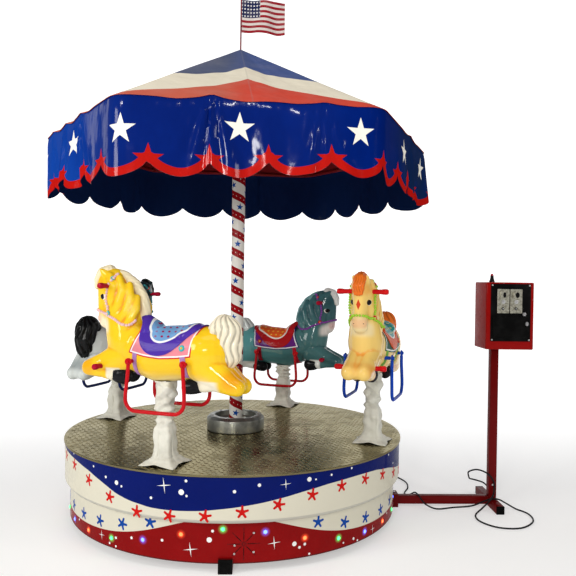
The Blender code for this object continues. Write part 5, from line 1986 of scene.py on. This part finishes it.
def read(values, key):
    """Three numbers of each vertex as rows."""
    numbers = np.empty(len(values) * 3)
    values.foreach_get(key, numbers)
    return numbers.reshape(-1, 3)


def swell(piece, amount):
    """Move the surface along its normals by one distance, or by one for each vertex."""
    moved = coordinates(piece) + normals(piece) * np.reshape(amount, (-1, 1))
    piece.data.vertices.foreach_set("co", moved.ravel())
    piece.data.update()
    return piece


def remember(piece):
    """Store each point's place in the horse's own frame, and how deep it lies in a hollow."""
    spots, ways = coordinates(piece), normals(piece)
    count = len(piece.data.edges)
    ends = np.empty(count * 2, dtype=np.int64)
    piece.data.edges.foreach_get("vertices", ends)
    first, second = ends.reshape(-1, 2).T
    degree = np.bincount(ends, minlength=len(spots)).reshape(-1, 1).clip(1)
    soft = spots.copy()
    for _ in range(14):
        total = np.zeros_like(soft)
        np.add.at(total, first, soft[second])
        np.add.at(total, second, soft[first])
        soft = soft * 0.4 + total / degree * 0.6
    hollow = ((soft - spots) * ways).sum(axis=1)
    layer = piece.data.attributes.new("coat", "FLOAT_VECTOR", "POINT")
    layer.data.foreach_set("vector", spots.ravel().astype(np.float32))
    store(piece, "hollow", (hollow * 1000).astype(np.float32))
    return piece


def prism(outline):
    """A block whose side view is an outline of (x, z) points."""
    piece = traced("prism", [(x, -0.2, z) for x, z in outline])
    with editing(piece):
        pick_all()
        bpy.ops.mesh.edge_face_add()
        extrude(0, 0.4, 0)
        face_outward()
    return piece


def rounded_outline(outline):
    """The outline with its corners flowing."""
    return [(p.x, p.z) for p in flowing([(x, 0, z) for x, z in outline], 5, closed=True)]


def inset_outline(outline, distance):
    """The outline moved inwards all round, with its corners kept."""
    count = len(outline)
    area = sum(xa * zb - xb * za for (xa, za), (xb, zb) in zip(outline, outline[1:] + outline[:1]))
    sign = 1 if area > 0 else -1
    moved = []
    for index, spot in enumerate(outline):
        here = Vector(spot)
        into = (here - Vector(outline[index - 1])).normalized()
        away = (Vector(outline[(index + 1) % count]) - here).normalized()
        inward = vec(-into.y, into.x) + vec(-away.y, away.x)
        here += inward * (distance * sign / (1 + into.dot(away)))
        moved.append(tuple(here))
    return moved


def patch(name, form, outline, lift):
    """A raised layer over a form: the swollen form cut out by an outline."""
    layer = swell(copied(form, name), lift)
    return carve(layer, prism(outline), "INTERSECT")


class Surface:
    """The horse's skin, to lay trim on."""

    def __init__(self, *pieces):
        shape = bmesh.new()
        for piece in pieces:
            shape.from_mesh(piece.data)
        self.tree = BVHTree.FromBMesh(shape)
        shape.free()

    def hug(self, point, out=0.0):
        """The nearest point of the skin, moved out from it."""
        at, normal, _, _ = self.tree.find_nearest(Vector(point))
        return at + normal * out, normal

    def side(self, x, z, out=0.0, right=False):
        """The skin straight in from the side at x and z."""
        way = -1 if right else 1
        at, normal, _, _ = self.tree.ray_cast(vec(x, 0.4 * way, z), vec(0, -way, 0))
        if at is None:
            return self.hug((x, 0.03 * way, z), out)
        return at + normal * out, normal


def spaced(points, gap):
    """Points at equal gaps along a flowing line."""
    line = flowing(points, 12)
    placed, carried = [line[0]], 0.0
    for a, b in zip(line, line[1:]):
        run = (b - a).length
        while carried + run >= gap:
            a = a + (b - a) * ((gap - carried) / run)
            run = (b - a).length
            carried = 0.0
            placed.append(a)
        carried += run
    return placed


def beaded(name, skin, lines, radius):
    """Beads threaded along lines that hug the skin."""
    bpy.ops.mesh.primitive_ico_sphere_add(subdivisions=1, radius=radius, location=(0, 0, 0))
    bead = added("bead")
    beads = []
    for line in lines:
        for point in spaced(line, radius * 1.7):
            at, _ = skin.hug(point, radius * 0.6)
            beads.append(copied(bead, "bead", shift(at)))
    discard(bead)
    return joined(name, beads)


def rosette(name, at, normal, size, petals=8):
    """A small moulded flower facing away from the skin."""
    turn = aimed(normal)
    bpy.ops.mesh.primitive_circle_add(vertices=petals * 4, radius=size, fill_type="NGON")
    flower = added(name)
    with editing(flower, "FACE"):
        choose(flower, "faces", lambda f: True)
        extrude(0, 0, size * 0.35)
        resize(0.8, 0.8, 1)
        bpy.ops.mesh.inset(thickness=size * 0.4, depth=-size * 0.12)
    for vert in flower.data.vertices:
        angle = math.atan2(vert.co.y, vert.co.x)
        vert.co.xy *= 0.9 + 0.13 * abs(math.cos(angle * petals / 2))
    flower.data.transform(shift(at) @ turn)
    return flower


def horse_place(angle, drop=0.0):
    """Where a horse stands, its head the way the ride turns."""
    return shift(on_circle(HORSE_RADIUS, angle, -drop)) @ spin(math.radians(angle - 90))


def stable(piece, label, finishes, replaced=(), angle=50, keep=False):
    """Give every horse its own copy of a piece, in its own finish or the one they share."""
    for colour in HORSES:
        name = f"{colour}_horse"
        twin = copied(piece, f"{name}_{label}", horse_place(*HORSES[colour]))
        finish = finishes[colour] if isinstance(finishes, dict) else finishes
        settle(twin, name, finish,
               [f"{name}_{node}" for node in replaced], angle)
    if not keep:
        discard(piece)


def trim_paint(label, key, rough=0.26):
    """One lacquer for each horse, in the colour that its table names."""
    finishes = {}
    for colour, table in COATS.items():
        made = lacquer(f"{colour} {label}", table[key], rough,
                       times(table[key], 0.45), coat=0.6)
        made.grain(90.0, 3.0, 0.0005, 0.3)
        finishes[colour] = made.done()
    return finishes


def coat_paint(colour):
    """Gloss coat with airbrush and painted shade in its hollows, a pale belly and muzzle and painted
    fetlocks.
    """
    table = COATS[colour]
    made = Finish(colour + " coat", table["coat"], 0.2, coat=2.0)
    x, y, z = made.place("coat")
    hollow = made.stored("hollow")
    drift = made.noise(12.0, 4.0, point=made.point)
    cloud = made.noise(5.0, 3.0, point=made.point)
    made.tint(cloud.ramp(0.4, 0.7, 0.0, 0.35), tuple(min(1.0, c * 1.12) for c in table["coat"]))
    if colour == "teal":
        made.tint((z * 0.6 - x).ramp(0.35, 0.86, 0.0, 0.9), (0.1, 0.33, 0.34))
        made.tint((z - 1.02 + x * 0.2).ramp(0.0, 0.16, 0.0, 0.6), (0.022, 0.075, 0.095))
    if colour == "grey":
        made.tint((z - 1.01 + x * 0.1).ramp(0.0, 0.05), (0.014, 0.034, 0.038))
    belly = (z + drift * 0.03).ramp(0.845, 0.775, 0.0, 0.9)
    made.tint(belly * (abs(x) - 0.02).below(0.22, 0.08), table["belly"])
    # The shade colour in the hollows: the horse's airbrushing, and painted shade in its creases.
    made.tint((hollow + drift * 1.4).ramp(0.6, 3.2, 0.0, 0.7), table["shade"])
    hock = (x + 0.335).span(z - 0.8)
    made.tint(hock.ramp(0.06, 0.018, 0.0, 0.55), table["shade"])
    knee = (x - 0.355).span(z - 0.822)
    made.tint(knee.ramp(0.05, 0.016, 0.0, 0.45), table["shade"])
    brow = (x - 0.318).span(z - 1.19)
    made.tint(brow.ramp(0.04, 0.012, 0.0, 0.35), table["shade"])
    muzzle = (z - x * 0.5 + drift * 0.02).ramp(0.926, 0.888)
    face = x.ramp(0.24, 0.276) * z.ramp(0.96, 0.99)
    made.tint(muzzle * face, table["muzzle"])
    nostril = (x - 0.331).span(z - 1.036)
    made.tint(nostril.ramp(0.034, 0.01, 0.0, 0.55) * face, table["lip"])
    if colour == "cream":
        diamond = abs(y) + abs(z - 1.122) * 0.42
        made.tint(diamond.below(0.0105, 0.0015) * x.ramp(0.3, 0.31), (0.62, 0.05, 0.01))
    fetlock = (x - 0.262).below(0.0, 0.012) * x.ramp(0.19, 0.2) * z.below(0.822, 0.012)
    made.tint(fetlock, table["fetlock"])
    fetlock = x.ramp(-0.292, -0.262) * x.below(-0.165, 0.01) * z.below(0.792, 0.01)
    made.tint(fetlock, table["fetlock"])
    made.rough = drift.ramp(0.3, 0.7, 0.14, 0.26)
    made.bump(made.noise(30.0, 2.0, point=made.point), 0.0016, 0.4)
    return made.done()


def hair_paint(colour, label, shade):
    """Lacquered carved hair, darker in its grooves with airbrushed paint and painted shade."""
    table = COATS[colour]
    made = Finish(f"{colour} {label}", table[label], 0.24, coat=1.2)
    made.place("coat")
    hollow = made.stored("hollow")
    streaks = made.noise(60.0, 3.0, stretch=(1, 1, 0.3), point=made.point)
    # Darker in the grooves: airbrushed paint, and painted shade.
    made.tint((hollow + streaks * 0.5).ramp(0.25, 1.0, 0.0, 0.85), shade)
    made.tint(streaks.ramp(0.5, 0.8, 0.0, 0.35),
              tuple(min(1.0, c * 1.25 + 0.002) for c in table[label]))
    made.rough = streaks.ramp(0.3, 0.7, 0.18, 0.34)
    made.bump(streaks, 0.0008, 0.4)
    return made.done()


def groove(piece, label, depth, shade):
    """Carve strands into hair and give it to each horse in its own colour."""
    swell(piece, depth)
    remember(piece)
    stable(piece, label, {c: hair_paint(c, label, shade(t)) for c, t in COATS.items()})


def make_hair():
    mane = fused("mane", [[(x, 0, z, r, 0.022) for x, z, r in MANE]], 0.0035, 2)
    spots = coordinates(mane)
    along = np.arctan2(spots[:, 2] - 1.09, spots[:, 0] - 0.29)
    groove(mane, "mane",
           0.0009 * np.sin(along * 30 + np.abs(spots[:, 1]) * 420 + 3 * np.sin(along * 5)),
           lambda t: t["mane_shade"])
    forelock = fused("forelock", [FORELOCK], 0.003, 2)
    spots = coordinates(forelock)
    groove(forelock, "forelock", 0.0012 * np.sin(spots[:, 1] * 520 + 2 * np.sin(spots[:, 2] * 90)),
           lambda t: times(t["forelock"], 0.45))
    tail = fused("tail", [[(x, 0, z, r, w) for x, z, r, w in TAIL]], 0.0038, 2)
    spots = coordinates(tail)
    around = np.arctan2(spots[:, 1], spots[:, 0] + 0.285)
    groove(tail, "tail", 0.0028 * np.sin(around * 12 + 2.2 * np.sin(spots[:, 2] * 42)),
           lambda t: times(t["tail"], 0.5))


def make_hooves():
    feet = []
    for x, z, length, high in ((0.222, 0.79, -0.034, 0.038), (-0.176, 0.76, 0.048, 0.031)):
        chain = [(x, 0.034, z + 0.002, high - 0.004, 0.027),
                 (x + length * 0.5, 0.034, z, high, 0.03),
                 (x + length, 0.034, z - 0.002, high, 0.029)]
        feet += [chain, mirrored(chain)]
    feet = fused("hooves", feet, 0.0045, 2)
    spots = coordinates(feet)
    swell(feet, 0.0007 * np.sin(spots[:, 0] * 700))
    remember(feet)
    stable(feet, "hooves", trim_paint("hooves", "hoof", 0.3))


def make_tack(body):
    form = fused("saddle_form", TRUNK + SADDLE_LUMPS, 0.0048, 4)
    layers = (
        ("blanket_outline", form, inset_outline(BLANKET, -0.0055), 0.0024, "outline"),
        ("blanket_edge", form, BLANKET, 0.0034, "edge"),
        ("blanket", form, inset_outline(BLANKET, 0.0065), 0.0046, "blanket"),
        ("saddle", form, rounded_outline(SADDLE), 0.0085, "saddle"),
        ("saddle_line", form, rounded_outline(SEAT), 0.0098, "line"),
        ("saddle_seat", form, inset_outline(rounded_outline(SEAT), 0.0085), 0.0108, "seat"),
    )
    for label, over, outline, lift, key in layers:
        layer = patch(label, over, outline, lift)
        remember(layer)
        finishes = trim_paint(label.replace("_", " "), key)
        if label == "saddle_seat":
            finishes = {colour: seat_paint(colour) for colour in HORSES}
        stable(layer, label, finishes, angle=40)
    straps = []
    for outline in GIRTHS:
        straps.append(patch("strap", body, outline, 0.0028))
    straps = joined("girths", straps)
    remember(straps)
    stable(straps, "girths", trim_paint("girths", "strap"), angle=40)
    discard(form)


def seat_paint(colour):
    table = COATS[colour]
    made = Finish(colour + " seat", table["seat"], 0.26, coat=0.6)
    x, y, z = made.place("coat")
    row = (x + abs(y) * 0.3) / 0.031
    across = row.centred(1.0) * 0.031
    up = ((z - abs(y) * 0.6) / 0.031 + 0.25).centred(1.0) * 0.031
    reach = across.span(up)
    made.tint(reach.below(0.0062, 0.0012), table["dot"])
    made.tint(made.noise(14.0, 4.0, point=made.point).ramp(0.45, 0.75, 0.0, 0.5),
              times(table["seat"], 1.5))
    made.grain(60.0, 3.0, 0.0005, 0.3)
    return made.done()


def make_bridle(skin):
    lines = []
    for y in (-1, 1):
        lines.append([(0.224, 0.04 * y, 1.24), (0.242, 0.046 * y, 1.203),
                      (0.252, 0.05 * y, 1.169), (0.255, 0.05 * y, 1.135),
                      (0.257, 0.048 * y, 1.102), (0.257, 0.04 * y, 1.07)])
        lines.append([(0.252, 0.04 * y, 1.05), (0.228, 0.06 * y, 1.04),
                      (0.208, 0.07 * y, 1.032), (0.176, 0.078 * y, 1.015),
                      (0.137, 0.074 * y, 1.015), (0.108, 0.06 * y, 1.024)])
    lines.append([(0.258, 0.045, 1.058), (0.286, 0.04, 1.058), (0.318, 0.03, 1.068),
                  (0.338, 0.0, 1.074), (0.318, -0.03, 1.068), (0.286, -0.04, 1.058),
                  (0.258, -0.045, 1.058)])
    beads = beaded("beads", skin, lines, sizes().bead)
    stable(beads, "bridle_beads", trim_paint("beads", "bead"), angle=0)
    flowers, hearts = [], []
    for side in (False, True):
        for x, z, size in ((0.257, 1.058, 0.0125), (0.24, 1.212, 0.01)):
            at, normal = skin.side(x, z, 0.003, side)
            flowers.append(rosette("flower", at, normal, size))
            hearts.append(rosette("heart", at + normal * size * 0.2, normal, size * 0.42, 5))
        at, normal = skin.side(-0.128, 0.926, 0.005, side)
        flowers.append(rosette("flower", at, normal, 0.014))
        hearts.append(rosette("heart", at + normal * 0.003, normal, 0.006, 5))
    stable(joined("flowers", flowers), "rosettes", trim_paint("rosettes", "rosette"))
    stable(joined("hearts", hearts), "rosette_hearts", trim_paint("hearts", "heart"))


def make_face(skin):
    balls, whites, lids, holes = [], [], [], []
    for side in (-1, 1):
        at, normal = skin.side(0.297, 1.13, -0.004, side < 0)
        turn = aimed(normal)
        for group, reach, flat, out, ahead in (
                (whites, 0.0175, 0.5, 0.0, 0.0), (balls, 0.0145, 0.52, 0.0028, 0.0034),
                (lids, 0.02, 0.42, -0.0024, 0.0)):
            bpy.ops.mesh.primitive_uv_sphere_add(segments=24, ring_count=14, radius=reach)
            ball = added("eye")
            with editing(ball, "VERT"):
                choose(ball, "verts", lambda v: v.co.z < -reach * 0.4)
                resize(0.9, 0.9, 0.3)
            spot = at + normal * out + vec(ahead, 0, ahead * 0.3)
            ball.data.transform(shift(spot) @ turn
                                @ Matrix.Diagonal((1.15, 0.86, flat, 1.0)))
            group.append(ball)
        nose, normal = skin.hug((0.338, 0.024 * side, 1.034), -0.0025)
        turn = aimed(normal)
        bpy.ops.mesh.primitive_uv_sphere_add(segments=18, ring_count=10, radius=0.005)
        hole = added("nostril")
        with editing(hole, "VERT"):
            choose(hole, "verts", lambda v: v.co.x > 0.003)
            resize(1.2, 0.6, 0.8)
        hole.data.transform(shift(nose) @ turn
                            @ Matrix.Diagonal((1.0, 0.7, 0.6, 1.0)))
        holes.append(hole)
    jet = Finish("eye black", (0.006, 0.005, 0.006), 0.06, coat=1.0)
    jet = jet.grain(90.0, 3.0, 0.0002, 0.2).done()
    ivory = lacquer("eye white", (0.8, 0.79, 0.74), 0.15, (0.5, 0.4, 0.35)).done()
    stable(joined("whites", whites), "eye_whites", ivory)
    stable(joined("balls", balls), "eyes", jet)
    stable(joined("holes", holes), "nostrils", jet)
    stable(joined("lids", lids), "eyelids", trim_paint("eyelids", "shade"))


def make_irons():
    """Posts and bars."""
    chrome = satin_steel("post steel", (0.55, 0.55, 0.56), 0.25, (1, 1, 12)).done()
    post = rod("post", (0, 0, 0.25), (0, 0, 0.86), 0.02, 40, 0.0015)
    stable(post, "post_tube", chrome, ["post"])
    grips = {c: lacquer("crimson grip", (0.4, 0.006, 0.03), 0.28, (0.2, 0.004, 0.01)).done()
             for c in HORSES}
    grips["cream"] = lacquer("red grip", (0.58, 0.01, 0.012), 0.28, (0.3, 0.005, 0.006)).done()
    half = 0.1225
    profile = [(0, -half), (0.0095, -half + 0.001), (0.0128, -half + 0.006),
               (0.0134, -half + 0.016), (0.0128, -half + 0.026), (0.0112, -half + 0.034),
               (0.0108, -0.05), (0.0108, 0.05), (0.0112, half - 0.034),
               (0.0128, half - 0.026), (0.0134, half - 0.016), (0.0128, half - 0.006),
               (0.0095, half - 0.001), (0, half)]
    for label, (x, z) in (("handle_bar", HANDLE_AT), ("knee_bar", KNEE_BAR_AT)):
        bar = turned("bar", profile, 32)
        bar.data.transform(shift((x, 0, z)) @ spin(TAU / 4, "X"))
        stable(bar, label + "_grip", grips, [label])


def make_stirrups():
    """Bent hoops under two eyelets each, with their stubs, washers and bolts."""
    front, back, high, low = 0.116, -0.143, 0.861, 0.655
    steels = {colour: lacquer(colour + " stirrup enamel", table["iron"], 0.3,
                              times(table["iron"], 0.4), coat=0.6).done()
              for colour, table in COATS.items()}
    for label, side in (("left", 1), ("right", -1)):
        top, out = 0.115 * side, 0.118 * side
        corners = [(front, top, high - 0.012), (front + 0.003, top, high - 0.06),
                   (front + 0.01, out, low + 0.062), (front + 0.004, out, low + 0.026),
                   (front - 0.02, out, low + 0.004), (front - 0.06, out, low),
                   (back + 0.06, out, low), (back + 0.02, out, low + 0.004),
                   (back - 0.004, out, low + 0.026), (back - 0.01, out, low + 0.062),
                   (back - 0.003, top, high - 0.06), (back, top, high - 0.012)]
        hoop = as_mesh(tube("hoop", flowing(corners, 6), 0.0082, 16))
        pieces = [hoop]
        for x in (front, back):
            at = vec(x, top, high)
            pieces.append(rod("eyelet", at - vec(0, 0.0035, 0), at + vec(0, 0.0035, 0),
                              0.0155, 28, 0.0012))
            inner, outer = sorted((0.07 * side, 0.108 * side))
            pieces.append(rod("stub", (x, inner, high), (x, outer, high), 0.0085, 20))
            way = vec(0, side, 0)
            pieces.append(rod("washer", at + way * 0.0035, at + way * 0.0055, 0.0115, 28,
                              0.0006))
            pieces.append(rod("bolt", at + way * 0.0052, at + way * 0.0105, 0.0082, 6, 0.0012))
        stable(joined("iron", pieces), f"stirrup_{label}_iron", steels, [f"stirrup_{label}"], 40)


def build_horses():
    both = [chain for pair in PAIRED for chain in (pair, mirrored(pair))]
    locks = []
    for chain in LOCKS:
        lumps = [(x, y, z, r, r * 0.72) for (x, y, z), r in zip(chain, LOCK_RADII)]
        locks += [lumps, mirrored(lumps)]
    body = fused("horse_body", TRUNK + FRONT + both + locks, VOXEL, 5)
    remember(body)
    skin = Surface(body)
    coats = {colour: coat_paint(colour) for colour in HORSES}
    stable(body, "coat", coats, ["body"], 60, keep=True)
    make_hair()
    make_hooves()
    make_tack(body)
    make_bridle(skin)
    make_face(skin)
    make_irons()
    make_stirrups()
    discard(body)


class CAROUSEL_OT_horses(bpy.types.Operator):
    """Model one leaping horse with its tack, and copy it in four colours"""
    bl_idname = "carousel.horses"
    bl_label = "Horses"

    def execute(self, context):
        build_horses()
        return {"FINISHED"}


# Boots over the posts

BOOT_PROFILE = milli([(774.5, 41), (720, 41), (665, 38), (620, 34), (585, 35), (562, 41), (520, 42),
    (470, 42), (450, 47), (436, 58), (415.5, 80)])
BOOT_FOLD_Z = 0.585
BOOT_COLUMNS = 128
BOOT_ROWS = 96


def make_boot(colour, angle, drop, order, finish):
    boot = open_tube(f"{colour}_horse_boot_sleeve", BOOT_COLUMNS, BOOT_ROWS)
    top = BOOT_PROFILE[0][0]
    low = BOOT_PROFILE[-1][0]
    pick = random.Random(7 + order)
    creases = []
    for _ in range(16):
        creases.append((pick.uniform(0, TAU), pick.uniform(0.05, 0.9), pick.uniform(-1, 1),
                        pick.uniform(0.03, 0.06), pick.uniform(0.6, 1.0)))
    for vert in boot.data.vertices:
        down = -vert.co.z / BOOT_ROWS
        turn = math.atan2(vert.co.y, vert.co.x)
        z = top + (low - top) * down
        vert.co = boot_point(turn, z, down, creases, drop, top)
    flip_out(boot, lambda faces: max(faces, key=lambda f: f.center.x).normal.x >= 0)
    modify(boot, "SOLIDIFY", thickness=0.0013, offset=-1.0)
    boot.data.transform(horse_place(angle))
    settle(boot, None, finish, [f"{colour}_horse_boot"], 0)
    alone(boot)
    bpy.ops.object.shade_smooth()
    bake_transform(boot)


def boot_point(turn, z, down, creases, drop, top):
    for (za, ha), (zb, hb) in zip(BOOT_PROFILE, BOOT_PROFILE[1:]):
        if z >= zb - 1e-6:
            t = (za - z) / (za - zb)
            half = ha + (hb - ha) * t * t * (3 - 2 * t)
            break
    square = 1 / max(abs(math.cos(turn)), abs(math.sin(turn)))
    power = 5.0
    rounded = (abs(math.cos(turn)) ** power + abs(math.sin(turn)) ** power) ** (-1 / power)
    skirt = min(1.0, max(0.0, (down - 0.9) / 0.1))
    shape = rounded + (square - rounded) * skirt
    offset = creases[0][0]
    crumple = 0.0
    for at, level, slant, width, weight in creases:
        off = math.atan2(math.sin(turn - at), math.cos(turn - at))
        line = abs((down - level) - slant * 0.16 * off)
        near = math.exp(-(off / 0.9) ** 2)
        crumple += weight * near * max(0.0, 1 - line / width) * (1 if slant > 0 else -0.9)
    twist = 6.0 * math.sin(down * 7 + offset)
    diamonds = -1.0
    for phase in (turn * 1.5 + down * 15 + twist * 0.3 + offset,
                  turn * 1.5 - down * 17 + offset * 2):
        diamonds += 2 * abs((phase / math.pi) % 1.0 - 0.5)
    loose = min(1.0, down / 0.06) * min(1.0, max(0.0, (0.56 - down) / 0.08))
    boxed = min(1.0, max(0.0, (down - 0.58) / 0.05)) * (1 - skirt)
    ridge = 0.0045 * crumple * (loose + 0.45 * boxed) + 0.0115 * diamonds * loose
    ridge += 0.0045 * diamonds * boxed
    upright = 0.0022 * math.sin(turn * 9 + 2 * math.sin(down * 5)) * (0.3 + skirt)
    upright -= 0.006 * boxed * max(0.0, 1 - abs(math.sin(turn * 2 + offset)) * 6)
    hem = skirt ** 2 * 0.016 * (1 - abs(math.cos(2 * turn)))
    shape += (1 - shape) * 0.75 * loose
    radius = half * shape + ridge + upright
    arch = skirt ** 3 * 0.01 * abs(math.cos(2 * turn)) ** 2
    height = z + arch
    radius += hem * 0.4
    if z > BOOT_FOLD_Z:
        squash = 1 - drop / (top - BOOT_FOLD_Z)
        height = BOOT_FOLD_Z + (z - BOOT_FOLD_Z) * squash
        fold = math.sin((z - BOOT_FOLD_Z) / (top - BOOT_FOLD_Z) * TAU * 3.5 + turn)
        radius += 0.04 * drop * fold * loose
    radius = max(radius, 0.029)
    aside = 0.0065 * loose * math.sin(down * 13 + offset)
    return vec(radius * math.cos(turn) + aside, radius * math.sin(turn) - aside * 0.5,
               height)


def build_boots():
    skin = Finish("boot vinyl", (0.74, 0.735, 0.65), 0.36, coat=0.2)
    grime = skin.noise(18.0, 5.0)
    skin.tint(grime.ramp(0.45, 0.8, 0.0, 0.6), (0.5, 0.48, 0.41))
    crush = skin.noise(38.0, 5.0, rough=0.6)
    skin.rough = crush.ramp(0.3, 0.7, 0.28, 0.46)
    skin.bump(crush, 0.004, 0.45)
    skin.grain(900.0, 1.0, 0.0001, 0.2)
    vinyl_white = skin.done()
    for order, (colour, (angle, drop)) in enumerate(HORSES.items()):
        make_boot(colour, angle, drop, order, vinyl_white)


class CAROUSEL_OT_boots(bpy.types.Operator):
    """Wrap each post in its crumpled white sleeve"""
    bl_idname = "carousel.boots"
    bl_label = "Boots"

    def execute(self, context):
        build_boots()
        return {"FINISHED"}


# Layout of the add-on

OPERATORS = (CAROUSEL_OT_stage, CAROUSEL_OT_cable, CAROUSEL_OT_base, CAROUSEL_OT_drum,
             CAROUSEL_OT_deck, CAROUSEL_OT_canopy, CAROUSEL_OT_coin_stand,
             CAROUSEL_OT_horses, CAROUSEL_OT_boots)


class CAROUSEL_PT_panel(bpy.types.Panel):
    """Lists the steps that build the ride"""
    bl_idname = "CAROUSEL_PT_panel"
    bl_label = "Fairground Carousel"
    bl_space_type = "VIEW_3D"
    bl_region_type = "UI"
    bl_category = "Carousel"

    def draw(self, context):
        for group in (context.scene.carousel_sizes, context.scene.carousel_colours):
            column = self.layout.column(align=True)
            for key in group.__annotations__:
                column.prop(group, key)
        for step in OPERATORS:
            self.layout.operator(step.bl_idname)


CLASSES = (CarouselColours, CarouselSizes) + OPERATORS + (CAROUSEL_PT_panel,)


def register():
    for made in CLASSES:
        bpy.utils.register_class(made)
    bpy.types.Scene.carousel_colours = bpy.props.PointerProperty(type=CarouselColours)
    bpy.types.Scene.carousel_sizes = bpy.props.PointerProperty(type=CarouselSizes)


def unregister():
    del bpy.types.Scene.carousel_sizes
    del bpy.types.Scene.carousel_colours
    for made in reversed(CLASSES):
        bpy.utils.unregister_class(made)


def main():
    register()
    for step in OPERATORS:
        group, name = step.bl_idname.split(".")
        getattr(getattr(bpy.ops, group), name)()


if __name__ == "__main__":
    main()
